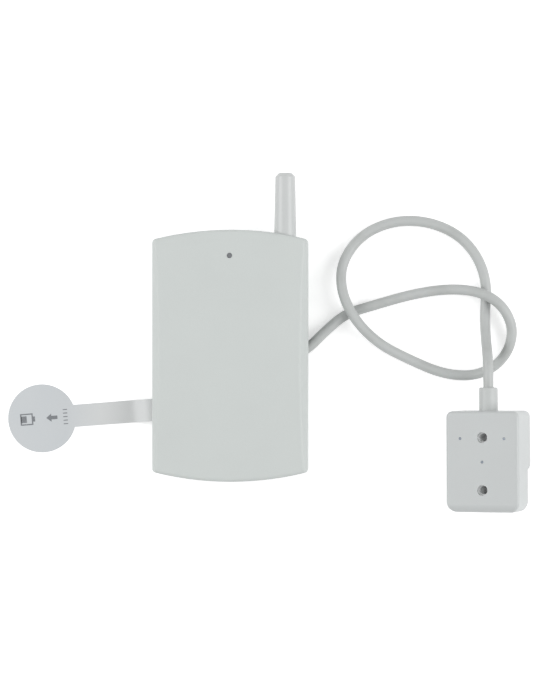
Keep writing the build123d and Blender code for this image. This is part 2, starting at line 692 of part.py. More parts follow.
save(rear_shell, "rear_shell")

# Antenna sleeve: a tapered rubber whip with a flange that sits in the cradle
with BuildPart() as antenna_sleeve:
    with BuildSketch(Plane.XY.offset(ANTENNA_AXIS_HEIGHT)):
        with BuildLine():
            axis_line = Line((ANTENNA_X, ANTENNA_ROOT_Y), (ANTENNA_X, ANTENNA_TIP_Y))
            base = ANTENNA_X + ANTENNA_BASE_DIAMETER / 2
            flange = ANTENNA_X + ANTENNA_FLANGE_DIAMETER / 2
            tip = ANTENNA_X + ANTENNA_TIP_DIAMETER / 2
            Polyline(
                axis_line @ 1,
                (tip - ANTENNA_TIP_CHAMFER, ANTENNA_TIP_Y),
                (tip, ANTENNA_TIP_Y - ANTENNA_TIP_CHAMFER),
                (base, CASE_HALF_LENGTH),
                (base, ANTENNA_FLANGE_Y),
                (flange, ANTENNA_FLANGE_Y),
                (flange, ANTENNA_ROOT_Y),
                axis_line @ 0,
            )
        make_face()
    revolve(axis=Axis((ANTENNA_X, 0, ANTENNA_AXIS_HEIGHT), (0, 1, 0)))
    tip_edges = antenna_sleeve.edges().filter_by(GeomType.CIRCLE).sort_by(Axis.Y)[-2:]
    fillet(tip_edges, radius=ANTENNA_TIP_BLEND)
    with BuildSketch(Plane.XZ.offset(-ANTENNA_ROOT_Y)):
        with Locations((ANTENNA_X, ANTENNA_AXIS_HEIGHT)):
            Circle(ELEMENT_DIAMETER / 2 + ELEMENT_CLEARANCE)
    extrude(amount=ANTENNA_ROOT_Y - ANTENNA_TIP_Y + ELEMENT_TIP_COVER, mode=Mode.SUBTRACT)
save(antenna_sleeve, "antenna_sleeve")

# Antenna element: a straight steel rod inside the sleeve
with BuildPart() as antenna_element:
    with BuildSketch(Plane.XZ.offset(ELEMENT_STUB - ANTENNA_ROOT_Y)):
        with Locations((ANTENNA_X, ANTENNA_AXIS_HEIGHT)):
            Circle(ELEMENT_DIAMETER / 2)
    extrude(amount=ANTENNA_ROOT_Y - ANTENNA_TIP_Y + ELEMENT_TIP_COVER - ELEMENT_STUB + ELEMENT_CLEARANCE)
save(antenna_element, "antenna_element")

# Circuit board: notched for the antenna's cradle and the cable, with access to the upper wall screw
with BuildPart() as circuit_board:
    with BuildSketch(Plane.XY.offset(BOARD_BOTTOM_FACE)) as board_outline:
        with BuildLine():
            Polyline(
                (-BOARD_HALF_WIDTH, BOARD_BOTTOM),
                (BOARD_CABLE_X, BOARD_BOTTOM),
                (BOARD_CABLE_X, BOARD_CABLE_Y),
                (BOARD_HALF_WIDTH, BOARD_CABLE_Y),
                (BOARD_HALF_WIDTH, BOARD_ANTENNA_Y),
                (BOARD_ANTENNA_X, BOARD_ANTENNA_Y),
                (BOARD_ANTENNA_X, BOARD_TOP),
                (-BOARD_HALF_WIDTH, BOARD_TOP),
                close=True,
            )
        make_face()
        fillet(board_outline.vertices(), radius=BOARD_CORNER)
        with Locations((0, MOUNT_UPPER_Y)):
            Circle(MOUNT_ACCESS_DIAMETER / 2, mode=Mode.SUBTRACT)
        with Locations(*BOARD_SCREW_PLACES):
            Circle(BOARD_HOLE_DIAMETER / 2, mode=Mode.SUBTRACT)
    extrude(amount=BOARD_THICKNESS)
save(circuit_board, "circuit_board")

# Board screws: three alike, slotted, in the bosses
with BuildPart() as board_screws:
    with BuildSketch(Plane.XY.offset(BOARD_TOP_FACE)):
        with Locations(*BOARD_SCREW_PLACES):
            Circle(BOARD_SCREW_HEAD_DIAMETER / 2)
    extrude(amount=BOARD_SCREW_HEAD_HEIGHT)
    with BuildSketch(Plane.XY.offset(BOARD_TOP_FACE)):
        with Locations(*BOARD_SCREW_PLACES):
            Circle(BOSS_BORE_DIAMETER / 2)
    extrude(amount=-BOARD_SCREW_LENGTH)
    with BuildSketch(Plane.XY.offset(BOARD_TOP_FACE + BOARD_SCREW_HEAD_HEIGHT)):
        with Locations(*BOARD_SCREW_PLACES):
            Rectangle(BOARD_SCREW_HEAD_DIAMETER, SCREW_SLOT_WIDTH)
    extrude(amount=-SCREW_SLOT_DEPTH, mode=Mode.SUBTRACT)
save(board_screws, "board_screws")

# Status light on the board
with BuildPart() as status_led:
    with BuildSketch(Plane.XY.offset(BOARD_TOP_FACE)):
        with Locations((0, LIGHT_Y)):
            Rectangle(LED_LENGTH, LED_WIDTH)
    extrude(amount=LED_HEIGHT - LED_LENS_DIAMETER / 2)
    with Locations((0, LIGHT_Y, LED_TOP - LED_LENS_DIAMETER / 2)):
        Sphere(LED_LENS_DIAMETER / 2)
save(status_led, "status_led")


def package_body(centre, length, width, height, label):
    """A moulded chip body with bevelled upper edges, just above the board."""
    with BuildPart() as body:
        with BuildSketch(Plane.XY.offset(BOARD_TOP_FACE + IC_LIFT)):
            with Locations(centre):
                Rectangle(length, width)
        extrude(amount=height - IC_LIFT)
        chamfer(body.faces().sort_by(Axis.Z)[-1].edges(), length=IC_LIFT)
    save(body, label)


def package_pins(centre, width, height, pins_per_side):
    """Bent pins along both long sides of a chip body."""
    x, y = centre
    rise = IC_LIFT + (height - IC_LIFT) * PIN_RISE_SHARE
    foot = width / 2 + PIN_REACH
    knee = width / 2 + PIN_REACH * PIN_RISE_SHARE
    half = PIN_THICKNESS / 2
    with BuildPart() as pins:
        for number in range(pins_per_side):
            pin_x = x + (number - (pins_per_side - 1) / 2) * PIN_PITCH - PIN_WIDTH / 2
            with BuildSketch(Plane.YZ.offset(pin_x)):
                for side in (-1, 1):
                    with BuildLine():
                        Polyline(
                            (y + side * foot, BOARD_TOP_FACE),
                            (y + side * (knee - half), BOARD_TOP_FACE),
                            (y + side * (knee - half), BOARD_TOP_FACE + rise - PIN_THICKNESS),
                            (y + side * width / 2, BOARD_TOP_FACE + rise - PIN_THICKNESS),
                            (y + side * width / 2, BOARD_TOP_FACE + rise),
                            (y + side * (knee + half), BOARD_TOP_FACE + rise),
                            (y + side * (knee + half), BOARD_TOP_FACE + PIN_THICKNESS),
                            (y + side * foot, BOARD_TOP_FACE + PIN_THICKNESS),
                            close=True,
                        )
                    make_face()
            extrude(amount=PIN_WIDTH)
    return pins.part


package_body(
    board_place(CONTROLLER_SHARES), CONTROLLER_LENGTH, CONTROLLER_WIDTH, CONTROLLER_HEIGHT, "microcontroller"
)
package_body(board_place(RADIO_SHARES), RADIO_LENGTH, RADIO_WIDTH, RADIO_HEIGHT, "radio_chip")

# Pins of both chips
with BuildPart() as chip_pins:
    add(
        package_pins(
            board_place(CONTROLLER_SHARES), CONTROLLER_WIDTH, CONTROLLER_HEIGHT, CONTROLLER_PINS_PER_SIDE
        )
    )
    add(package_pins(board_place(RADIO_SHARES), RADIO_WIDTH, RADIO_HEIGHT, RADIO_PINS_PER_SIDE))
save(chip_pins, "chip_pins")

# Radio resonator: a round metal can on a brim
with BuildPart() as resonator:
    with BuildSketch(Plane.XY.offset(BOARD_TOP_FACE)):
        with Locations(board_place(RESONATOR_SHARES)):
            Circle(RESONATOR_DIAMETER / 2 + RESONATOR_BRIM)
    extrude(amount=RESONATOR_BRIM)
    with BuildSketch(Plane.XY.offset(BOARD_TOP_FACE)):
        with Locations(board_place(RESONATOR_SHARES)):
            Circle(RESONATOR_DIAMETER / 2)
    extrude(amount=RESONATOR_HEIGHT)
    chamfer(resonator.edges().sort_by(Axis.Z)[-1], length=RESONATOR_BRIM)
save(resonator, "resonator")

# Crystal: an oval metal can on a brim
with BuildPart() as crystal:
    with BuildSketch(Plane.XY.offset(BOARD_TOP_FACE)):
        with Locations(board_place(CRYSTAL_SHARES)):
            SlotOverall(CRYSTAL_LENGTH + 2 * CRYSTAL_BRIM, CRYSTAL_WIDTH + 2 * CRYSTAL_BRIM)
    extrude(amount=CRYSTAL_BRIM)
    with BuildSketch(Plane.XY.offset(BOARD_TOP_FACE)):
        with Locations(board_place(CRYSTAL_SHARES)):
            SlotOverall(CRYSTAL_LENGTH, CRYSTAL_WIDTH)
    extrude(amount=CRYSTAL_HEIGHT)
save(crystal, "crystal")

# Capacitor: an upright aluminium can
with BuildPart() as capacitor:
    with BuildSketch(Plane.XY.offset(BOARD_TOP_FACE)):
        with Locations(board_place(CAPACITOR_SHARES)):
            Circle(CAPACITOR_DIAMETER / 2)
    extrude(amount=CAPACITOR_HEIGHT)
    chamfer(capacitor.edges().sort_by(Axis.Z)[-1], length=CAPACITOR_EDGE)
save(capacitor, "capacitor")

# Small chip components
with BuildPart() as chip_components:
    with BuildSketch(Plane.XY.offset(BOARD_TOP_FACE)):
        with Locations(*[board_place(shares) for shares in CHIP_SHARES]):
            Rectangle(CHIP_LENGTH, CHIP_WIDTH)
    extrude(amount=CHIP_HEIGHT)
save(chip_components, "chip_components")

SOCKET_X, SOCKET_Y = board_place(SOCKET_SHARES)
SOCKET_TOP = BOARD_TOP_FACE + SOCKET_HEIGHT
PLUG_TOP = SOCKET_TOP + PLUG_RISE
PLUG_WIDTH = SOCKET_WIDTH - 2 * SOCKET_WALL - 2 * PLUG_CLEARANCE
PLUG_LENGTH = SOCKET_LENGTH - 2 * SOCKET_WALL - 2 * PLUG_CLEARANCE

# Cable socket: an open box on the board
with BuildPart() as cable_socket:
    with BuildSketch(Plane.XY.offset(BOARD_TOP_FACE)):
        with Locations((SOCKET_X, SOCKET_Y)):
            Rectangle(SOCKET_WIDTH, SOCKET_LENGTH)
    extrude(amount=SOCKET_HEIGHT)
    with BuildSketch(Plane.XY.offset(SOCKET_TOP)):
        with Locations((SOCKET_X, SOCKET_Y)):
            Rectangle(SOCKET_WIDTH - 2 * SOCKET_WALL, SOCKET_LENGTH - 2 * SOCKET_WALL)
    extrude(amount=SOCKET_WALL - SOCKET_HEIGHT, mode=Mode.SUBTRACT)
save(cable_socket, "cable_socket")

# Cable plug: a block in the socket, with the cores in its side
with BuildPart() as cable_plug:
    with BuildSketch(Plane.XY.offset(BOARD_TOP_FACE + SOCKET_WALL + PLUG_CLEARANCE)):
        with Locations((SOCKET_X, SOCKET_Y)):
            Rectangle(PLUG_WIDTH, PLUG_LENGTH)
    extrude(amount=PLUG_TOP - BOARD_TOP_FACE - SOCKET_WALL - PLUG_CLEARANCE)
save(cable_plug, "cable_plug")

# Cable end inside the case
with BuildPart() as cable_tail:
    with BuildSketch(Plane.YZ.offset(TAIL_X)):
        with Locations((OUTLET_FROM_CENTRE, CABLE_EXIT_HEIGHT)):
            Circle(CABLE_DIAMETER / 2)
    extrude(amount=TAIL_LENGTH)
save(cable_tail, "cable_tail")

# Cable tie behind the wall, which keeps the cable from being pulled out
with BuildPart() as cable_tie:
    tie_radius = CABLE_DIAMETER / 2 + TIE_GAP
    with BuildSketch(Plane.YZ.offset(OUTLET_INNER_X - TIE_FROM_WALL - TIE_WIDTH)):
        with Locations((OUTLET_FROM_CENTRE, CABLE_EXIT_HEIGHT + tie_radius + TIE_HEAD_DEPTH / 2)):
            Rectangle(TIE_HEAD_WIDTH, TIE_HEAD_DEPTH)
        with Locations((OUTLET_FROM_CENTRE, CABLE_EXIT_HEIGHT)):
            Circle(tie_radius + TIE_THICKNESS)
            Circle(tie_radius, mode=Mode.SUBTRACT)
    extrude(amount=TIE_WIDTH)
save(cable_tie, "cable_tie")

# Three cores from the cable's end up to the plug
PLUG_SIDE_X = SOCKET_X + PLUG_WIDTH / 2
CORE_TOP = SOCKET_TOP + PLUG_RISE / 2
for name, turn in (("core_red", -1), ("core_black", 0), ("core_white", 1)):
    start_y = OUTLET_FROM_CENTRE + CORE_SPREAD * sin(radians(CORE_ANGLE * turn))
    start_z = CABLE_EXIT_HEIGHT + CORE_SPREAD * cos(radians(CORE_ANGLE * turn))
    climb_x = TAIL_X - CORE_CLIMB - abs(turn) * CORE_STAGGER
    plug_y = SOCKET_Y + turn * PLUG_PITCH
    core = wire(
        (
            (TAIL_X, start_y, start_z),
            (climb_x, start_y, start_z),
            (climb_x, plug_y, CORE_TOP),
            (PLUG_SIDE_X, plug_y, CORE_TOP),
        ),
        CORE_DIAMETER,
    )
    save(core, name)


def make_cell(flat_x, y, side, label):
    """One battery cell, lying along X, with its nub towards one side."""
    flat_end = Plane(origin=(flat_x, y, CELL_AXIS_HEIGHT), z_dir=(side, 0, 0))
    body = CELL_LENGTH - CELL_NUB_LENGTH
    with BuildPart() as cell:
        with BuildSketch(flat_end):
            Circle(CELL_DIAMETER / 2)
        extrude(amount=body)
        chamfer(cell.edges().filter_by(GeomType.CIRCLE), length=CELL_EDGE)
        with BuildSketch(flat_end.offset(body)):
            Circle(CELL_NUB_DIAMETER / 2)
        extrude(amount=CELL_NUB_LENGTH)
    save(cell, label)


make_cell(CELL_UPPER_FLAT_X, CELL_UPPER_Y, -1, "battery_cell_upper")
make_cell(CELL_LOWER_FLAT_X, CELL_LOWER_Y, 1, "battery_cell_lower")


def contact_plate(side, y, width, tab):
    """A contact plate against a side wall, with a solder tab on top where a lead is joined."""
    with BuildPart() as plate:
        with BuildSketch(Plane.YZ.offset(side * CONTACT_X - CONTACT_THICKNESS / 2)):
            with Locations((y, CONTACT_BASE + CONTACT_HEIGHT / 2)):
                Rectangle(width, CONTACT_HEIGHT)
            if tab:
                with Locations((y + CONTACT_TAB_SHIFT, CONTACT_BASE + CONTACT_HEIGHT)):
                    Rectangle(CONTACT_TAB_WIDTH, 2 * CONTACT_TAB_HEIGHT)
        extrude(amount=CONTACT_THICKNESS)
    return plate.part


def contact_spring(side, y, flat_x):
    """A coil spring from a contact plate to the flat end of a cell."""
    start = side * (CONTACT_FACE_X - SPRING_WIRE / 8)
    height = abs(flat_x - start) - SPRING_WIRE / 2 - CONTACT_CELL_GAP
    with BuildPart() as spring:
        with BuildLine() as path:
            Helix(
                pitch=height / SPRING_TURNS,
                height=height,
                radius=(SPRING_DIAMETER - SPRING_WIRE) / 2,
                center=(start, y, CELL_AXIS_HEIGHT),
                direction=(-side, 0, 0),
            )
        with BuildSketch(Plane(origin=path.line @ 0, z_dir=path.line % 0)):
            RegularPolygon(SPRING_WIRE / 2, WIRE_SIDES)
        sweep(path=path.line, is_frenet=True)
    return spring.part


# Plain contact for the upper cell's nub
with BuildPart() as positive_contact:
    add(contact_plate(*CONTACT_PLACES[0], True))
save(positive_contact, "positive_contact")

# Spring contact for the lower cell's flat end
with BuildPart() as negative_contact:
    add(contact_plate(*CONTACT_PLACES[1], True))
    add(contact_spring(-1, CELL_LOWER_Y, CELL_LOWER_FLAT_X))
save(negative_contact, "negative_contact")

# Bridging contact between the two cells, with a spring for the upper one
with BuildPart() as bridging_contact:
    add(contact_plate(*CONTACT_PLACES[2], False))
    add(contact_spring(1, CELL_UPPER_Y, CELL_UPPER_FLAT_X))
save(bridging_contact, "bridging_contact")

# Battery leads from the contacts' tabs over the cells to the board
LEAD_Z = CONTACT_BASE + CONTACT_HEIGHT + CONTACT_TAB_HEIGHT - LEAD_DIAMETER / 2
RED_PAD_X, RED_PAD_Y = board_place(RED_PAD_SHARES)
BLACK_PAD_X, BLACK_PAD_Y = board_place(BLACK_PAD_SHARES)
RED_TAB_Y = CELL_UPPER_Y + CONTACT_TAB_SHIFT
BLACK_TAB_Y = CELL_LOWER_Y + CONTACT_TAB_SHIFT
lead_red = wire(
    (
        (-CONTACT_FACE_X, RED_TAB_Y, LEAD_Z),
        (-CONTACT_FACE_X + LEAD_RUN, RED_TAB_Y, LEAD_Z),
        (RED_PAD_X, RED_PAD_Y, LEAD_Z),
        (RED_PAD_X, RED_PAD_Y, BOARD_TOP_FACE),
    ),
    LEAD_DIAMETER,
)
save(lead_red, "lead_red")
lead_black = wire(
    (
        (-CONTACT_FACE_X, BLACK_TAB_Y, LEAD_Z),
        (-CONTACT_FACE_X + LEAD_RUN, BLACK_TAB_Y, LEAD_Z),
        (BLACK_PAD_X, BLACK_PAD_Y, LEAD_Z),
        (BLACK_PAD_X, BLACK_PAD_Y, BOARD_TOP_FACE),
    ),
    LEAD_DIAMETER,
)
save(lead_black, "lead_black")

# Antenna lead from the element's end to the board
ANTENNA_PAD_X, ANTENNA_PAD_Y = board_place(ANTENNA_PAD_SHARES)
ELEMENT_END_Y = ANTENNA_ROOT_Y - ELEMENT_STUB
antenna_lead = wire(
    (
        (ANTENNA_X, ELEMENT_END_Y, ANTENNA_AXIS_HEIGHT),
        (ANTENNA_X, ELEMENT_END_Y - LEAD_RISE, ANTENNA_AXIS_HEIGHT),
        (ANTENNA_X, ELEMENT_END_Y - 2 * LEAD_RISE, ANTENNA_AXIS_HEIGHT + LEAD_RISE),
        (ANTENNA_PAD_X, ANTENNA_PAD_Y, ANTENNA_AXIS_HEIGHT + LEAD_RISE),
        (ANTENNA_PAD_X, ANTENNA_PAD_Y, BOARD_TOP_FACE),
    ),
    ANTENNA_LEAD_DIAMETER,
)
save(antenna_lead, "antenna_lead")

# Pull tab: a strip of film from between the upper contact and cell, out through the slot, to a round end
with BuildPart() as pull_tab:
    fold_x = -CONTACT_FACE_X + TAB_GAP
    with BuildSketch(Plane.XZ.offset(-CELL_UPPER_Y)):
        with BuildLine():
            Polyline(
                (-CASE_HALF_WIDTH, TAB_SLOT_HEIGHT),
                (fold_x + TAB_THICKNESS, TAB_SLOT_HEIGHT),
                (fold_x + TAB_THICKNESS, TAB_TOP),
                (fold_x, TAB_TOP),
                (fold_x, TAB_SLOT_HEIGHT + TAB_THICKNESS),
                (-CASE_HALF_WIDTH, TAB_SLOT_HEIGHT + TAB_THICKNESS),
                close=True,
            )
        make_face()
    extrude(amount=TAB_WIDTH / 2, both=True)
    skew = radians(TAB_SKEW)
    strip_plane = Plane(
        origin=(-CASE_HALF_WIDTH, CELL_UPPER_Y, 0),
        x_dir=(-cos(skew), -sin(skew), 0),
        z_dir=(-sin(skew), cos(skew), 0),
    )
    lift_end = TAB_LIFT_START + TAB_LIFT_RUN
    with BuildSketch(strip_plane):
        with BuildLine():
            for level in (0, TAB_THICKNESS):
                high = TAB_SLOT_HEIGHT + level
                Line((-TAB_OVERLAP, high), (TAB_LIFT_START, high))
                Bezier(
                    (TAB_LIFT_START, high),
                    (TAB_LIFT_START + TAB_LIFT_RUN / 2, high),
                    (lift_end - TAB_LIFT_RUN / 2, level),
                    (lift_end, level),
                )
                Line((lift_end, level), (TAB_DISC_FROM_SIDE, level))
            Line((-TAB_OVERLAP, TAB_SLOT_HEIGHT), (-TAB_OVERLAP, TAB_SLOT_HEIGHT + TAB_THICKNESS))
            Line((TAB_DISC_FROM_SIDE, 0), (TAB_DISC_FROM_SIDE, TAB_THICKNESS))
        make_face()
    extrude(amount=TAB_WIDTH / 2, both=True)
    disc_centre = strip_plane.from_local_coords((TAB_DISC_FROM_SIDE, 0, 0))
    with BuildSketch():
        with Locations(disc_centre):
            Circle(TAB_DISC_DIAMETER / 2)
    extrude(amount=TAB_THICKNESS)
save(pull_tab, "pull_tab")

# Probe cable: one round cord, straight runs joined by tangent arcs
probe_cable = tube(CABLE_ROUTE, CABLE_DIAMETER)
save(probe_cable, "probe_cable")

# Probe housing: a solid moulding with two screw holes, three pin holes and a socket for the collar
with BuildPart() as probe_housing:
    with BuildSketch(PROBE.offset(PROBE_BASE_TOP)) as housing_outline:
        Rectangle(PROBE_WIDTH, PROBE_LENGTH)
        fillet(housing_outline.vertices().group_by(Axis.Y)[0], radius=PROBE_BOTTOM_RADIUS)
        fillet(housing_outline.vertices().group_by(Axis.Y)[-1], radius=PROBE_TOP_RADIUS)
    extrude(amount=PROBE_THICKNESS - PROBE_BASE_THICKNESS)
    with BuildSketch(PROBE_SIDE) as side_outline:
        Rectangle(PROBE_LENGTH, PROBE_THICKNESS)
        toe = side_outline.vertices().group_by(Axis.X)[0].sort_by(Axis.Y)[-1]
        fillet(toe, radius=PROBE_TOE_RADIUS)
    extrude(amount=PROBE_WIDTH, both=True, mode=Mode.INTERSECT)
    front_face = probe_housing.faces().sort_by(PROBE_NORMAL)[-1]
    fillet(front_face.edges().sort_by(PROBE_LENGTH_AXIS)[1:], radius=PROBE_FACE_BLEND)
    with BuildSketch(PROBE.offset(PROBE_HALF_THICKNESS)):
        with Locations(*PROBE_SCREW_PLACES):
            Circle(PROBE_HOLE_ENTRY / 2)
    extrude(amount=-PROBE_HOLE_ENTRY_DEPTH, mode=Mode.SUBTRACT)
    with BuildSketch(PROBE.offset(PROBE_HALF_THICKNESS)):
        with Locations(*PROBE_SCREW_PLACES):
            Circle(PROBE_HOLE_DIAMETER / 2)
    extrude(amount=-PROBE_THICKNESS, mode=Mode.SUBTRACT)
    with BuildSketch(PROBE.offset(PROBE_HALF_THICKNESS)):
        with Locations(*ELECTRODE_PLACES):
            Circle(ELECTRODE_TIP_DIAMETER / 2 + ELECTRODE_CLEARANCE)
    extrude(amount=-PROBE_THICKNESS, mode=Mode.SUBTRACT)
    with BuildSketch(PROBE.offset(PROBE_BASE_TOP)):
        with Locations(*ELECTRODE_PLACES):
            Circle(ELECTRODE_DIAMETER / 2 + ELECTRODE_CLEARANCE)
    extrude(amount=ELECTRODE_SHOULDER - PROBE_BASE_TOP, mode=Mode.SUBTRACT)
    with BuildSketch(PROBE_END):
        Circle(COLLAR_SPIGOT_DIAMETER / 2 + COLLAR_CLEARANCE)
    extrude(amount=-COLLAR_SPIGOT_LENGTH - COLLAR_CLEARANCE, mode=Mode.SUBTRACT)
save(probe_housing, "probe_housing")

# Probe base: a plate with a stepped outline, a recess below, and inlets for water through its rim
with BuildPart() as probe_base:
    half_length = PROBE_LENGTH / 2
    half_width = PROBE_BASE_WIDTH / 2
    narrow = half_width - PROBE_BASE_STEP
    with BuildSketch(PROBE.offset(-PROBE_HALF_THICKNESS)) as base_outline:
        with BuildLine():
            Polyline(
                (-narrow, -half_length),
                (narrow, -half_length),
                (narrow, -PROBE_STEP_START - PROBE_STEP_RUN),
                (half_width, -PROBE_STEP_START),
                (half_width, half_length),
                (-half_width, half_length),
                (-half_width, -PROBE_STEP_START),
                (-narrow, -PROBE_STEP_START - PROBE_STEP_RUN),
                close=True,
            )
        make_face()
        fillet(base_outline.vertices().group_by(Axis.Y)[0], radius=PROBE_BOTTOM_RADIUS)
        fillet(base_outline.vertices().group_by(Axis.Y)[-1], radius=PROBE_TOP_RADIUS)
    extrude(amount=PROBE_BASE_THICKNESS)
    fillet(probe_base.faces().sort_by(PROBE_NORMAL)[0].edges(), radius=PROBE_BASE_EDGE)
    with BuildSketch(PROBE.offset(-PROBE_HALF_THICKNESS)):
        add(base_outline.sketch_local)
        offset(amount=-PROBE_RIM)
        with Locations(*PROBE_SCREW_PLACES):
            Circle(PROBE_SEAT_DIAMETER / 2, mode=Mode.SUBTRACT)
    extrude(amount=PROBE_RECESS, mode=Mode.SUBTRACT)
    with BuildSketch(PROBE.offset(-PROBE_HALF_THICKNESS)):
        with Locations((0, -half_length / 2)):
            with GridLocations(0, PROBE_INLET_PITCH, 1, PROBE_INLETS):
                Rectangle(PROBE_BASE_WIDTH, PROBE_INLET_WIDTH)
        with Locations(*PROBE_SCREW_PLACES):
            Circle(PROBE_SEAT_DIAMETER / 2, mode=Mode.SUBTRACT)
    extrude(amount=PROBE_INLET_HEIGHT, mode=Mode.SUBTRACT)
    with BuildSketch(PROBE.offset(-PROBE_HALF_THICKNESS)):
        with Locations(*PROBE_SCREW_PLACES):
            Circle(PROBE_HOLE_DIAMETER / 2)
        with Locations(*ELECTRODE_PLACES):
            Circle(ELECTRODE_DIAMETER / 2 + ELECTRODE_CLEARANCE)
    extrude(amount=PROBE_BASE_THICKNESS, mode=Mode.SUBTRACT)
save(probe_base, "probe_base")

# Strain relief collar, with its spigot in the housing
with BuildPart() as probe_collar:
    with BuildSketch(PROBE_END):
        Circle(COLLAR_DIAMETER / 2)
    extrude(amount=COLLAR_LENGTH)
    chamfer(probe_collar.faces().sort_by(PROBE_LENGTH_AXIS)[-1].edges(), length=COLLAR_EDGE)
    with BuildSketch(PROBE_END):
        Circle(COLLAR_SPIGOT_DIAMETER / 2)
    extrude(amount=-COLLAR_SPIGOT_LENGTH)
save(probe_collar, "probe_collar")

# Three electrodes: a wide head in the recess, a shank through the probe, a thin tip in the front
for place, label in zip(ELECTRODE_PLACES, ("electrode_left", "electrode_right", "electrode_centre")):
    with BuildPart() as electrode:
        with BuildSketch(PROBE.offset(PROBE_RECESS_FLOOR)):
            with Locations(place):
                Circle(ELECTRODE_HEAD_DIAMETER / 2)
        extrude(amount=-ELECTRODE_HEAD_THICKNESS)
        with BuildSketch(PROBE.offset(PROBE_RECESS_FLOOR)):
            with Locations(place):
                Circle(ELECTRODE_DIAMETER / 2)
        extrude(amount=ELECTRODE_SHOULDER - ELECTRODE_CLEARANCE - PROBE_RECESS_FLOOR)
        with BuildSketch(PROBE.offset(PROBE_RECESS_FLOOR)):
            with Locations(place):
                Circle(ELECTRODE_TIP_DIAMETER / 2)
        extrude(amount=PROBE_HALF_THICKNESS - PROBE_RECESS_FLOOR)
    save(electrode, label)

# The cable's bends, its length, and its volume beside that of a straight cord as long
cable_length = sum(run.length for run in centre_line(CABLE_ROUTE).edges())
cable_section = pi * (CABLE_DIAMETER / 2) ** 2
print("cable bend radii:", [round(radius, 1) for radius in corner_radii(CABLE_ROUTE)])
print("cable length:", round(cable_length, 1))
print("cable volume:", round(probe_cable.part.volume, 1), "of", round(cable_section * cable_length, 1))
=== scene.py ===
"""A flood sensor lying on a pale table: transmitter, battery pull tab, cable and water probe.

Objects are in metres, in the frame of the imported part. Sizes are in millimetres where a comment
says so, and are made metres with MM.
"""

import json
import math

import bmesh
import bpy
from mathutils import Matrix, Vector


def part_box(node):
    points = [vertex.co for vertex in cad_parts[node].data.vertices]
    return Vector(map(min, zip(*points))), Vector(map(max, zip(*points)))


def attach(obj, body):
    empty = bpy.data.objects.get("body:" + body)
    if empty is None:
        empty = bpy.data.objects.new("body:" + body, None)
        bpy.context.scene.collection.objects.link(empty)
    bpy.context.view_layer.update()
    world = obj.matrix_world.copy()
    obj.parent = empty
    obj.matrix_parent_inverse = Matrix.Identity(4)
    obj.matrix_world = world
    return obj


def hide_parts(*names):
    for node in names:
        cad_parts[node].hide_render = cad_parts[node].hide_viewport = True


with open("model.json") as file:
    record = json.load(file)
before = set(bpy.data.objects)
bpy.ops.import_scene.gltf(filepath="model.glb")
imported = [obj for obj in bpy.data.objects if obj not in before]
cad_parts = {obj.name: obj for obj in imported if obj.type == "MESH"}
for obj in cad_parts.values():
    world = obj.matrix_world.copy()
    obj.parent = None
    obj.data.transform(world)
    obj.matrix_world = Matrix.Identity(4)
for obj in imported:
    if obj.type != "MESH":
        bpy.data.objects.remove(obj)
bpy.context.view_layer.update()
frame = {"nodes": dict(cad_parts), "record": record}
scene = bpy.context.scene
nodes = frame["nodes"]
MM = 0.001

# Camera, looking nearly straight down, a little from the right. Its tilt is in degrees, and the
# point it looks at, the picture's height there and the other lengths are in millimetres

LOOKS_AT = (15.33, 2.24, 9.0)
CAMERA_TILT = 3.3
CAMERA_DISTANCE = 1200.0
PICTURE_HEIGHT = 273.0
SENSOR = 36.0
CLIP_START = 50.0
CLIP_END = 20000.0

lean = math.radians(CAMERA_TILT)
camera = bpy.data.objects.new("camera", bpy.data.cameras.new("camera"))
camera.data.sensor_width = SENSOR
camera.data.lens = SENSOR * CAMERA_DISTANCE / PICTURE_HEIGHT
camera.data.clip_start = CLIP_START * MM
camera.data.clip_end = CLIP_END * MM
camera.location = [
    (LOOKS_AT[0] + CAMERA_DISTANCE * math.sin(lean)) * MM,
    LOOKS_AT[1] * MM,
    (LOOKS_AT[2] + CAMERA_DISTANCE * math.cos(lean)) * MM,
]
camera.rotation_euler = (0, lean, 0)
scene.collection.objects.link(camera)
scene.camera = camera

# Cable, from the clamp inside the shell, round its loose crossing loop, to the collar of the probe.
# Its length and route are in metres

CABLE_DIAMETER = 4.0 * MM
CABLE_ROUTE = (
    (0.0198, 0.0005, 0.0044),
    (0.0234, 0.0005, 0.0044),
    (0.0271, 0.00145, 0.0042),
    (0.0307, 0.0035, 0.00375),
    (0.0360, 0.0090, 0.0028),
    (0.0444, 0.0164, 0.0020),
    (0.0550, 0.0196, 0.0020),
    (0.0710, 0.0242, 0.0023),
    (0.0850, 0.0262, 0.0046),
    (0.0970, 0.0250, 0.0069),
    (0.1053, 0.0202, 0.0068),
    (0.1097, 0.0122, 0.0045),
    (0.1092, 0.0046, 0.0026),
    (0.1059, -0.0013, 0.0020),
    (0.1006, -0.0057, 0.0020),
    (0.0930, -0.0080, 0.0020),
    (0.0820, -0.0069, 0.0020),
    (0.0695, -0.0015, 0.0022),
    (0.0575, 0.0046, 0.0044),
    (0.0482, 0.0140, 0.0069),
    (0.0430, 0.0250, 0.0068),
    (0.0429, 0.0362, 0.0036),
    (0.0500, 0.0468, 0.0020),
    (0.0620, 0.0526, 0.0020),
    (0.0755, 0.0529, 0.0020),
    (0.0880, 0.0480, 0.0020),
    (0.0960, 0.0394, 0.0020),
    (0.0998, 0.0284, 0.0020),
    (0.0990, 0.0170, 0.0023),
    (0.0992, 0.0080, 0.0052),
    (0.1002, -0.0027, 0.01265),
    (0.10025, -0.01225, 0.01265),
)

cable_curve = bpy.data.curves.new("signal_cable", "CURVE")
cable_curve.dimensions = "3D"
cable_curve.resolution_u = 10
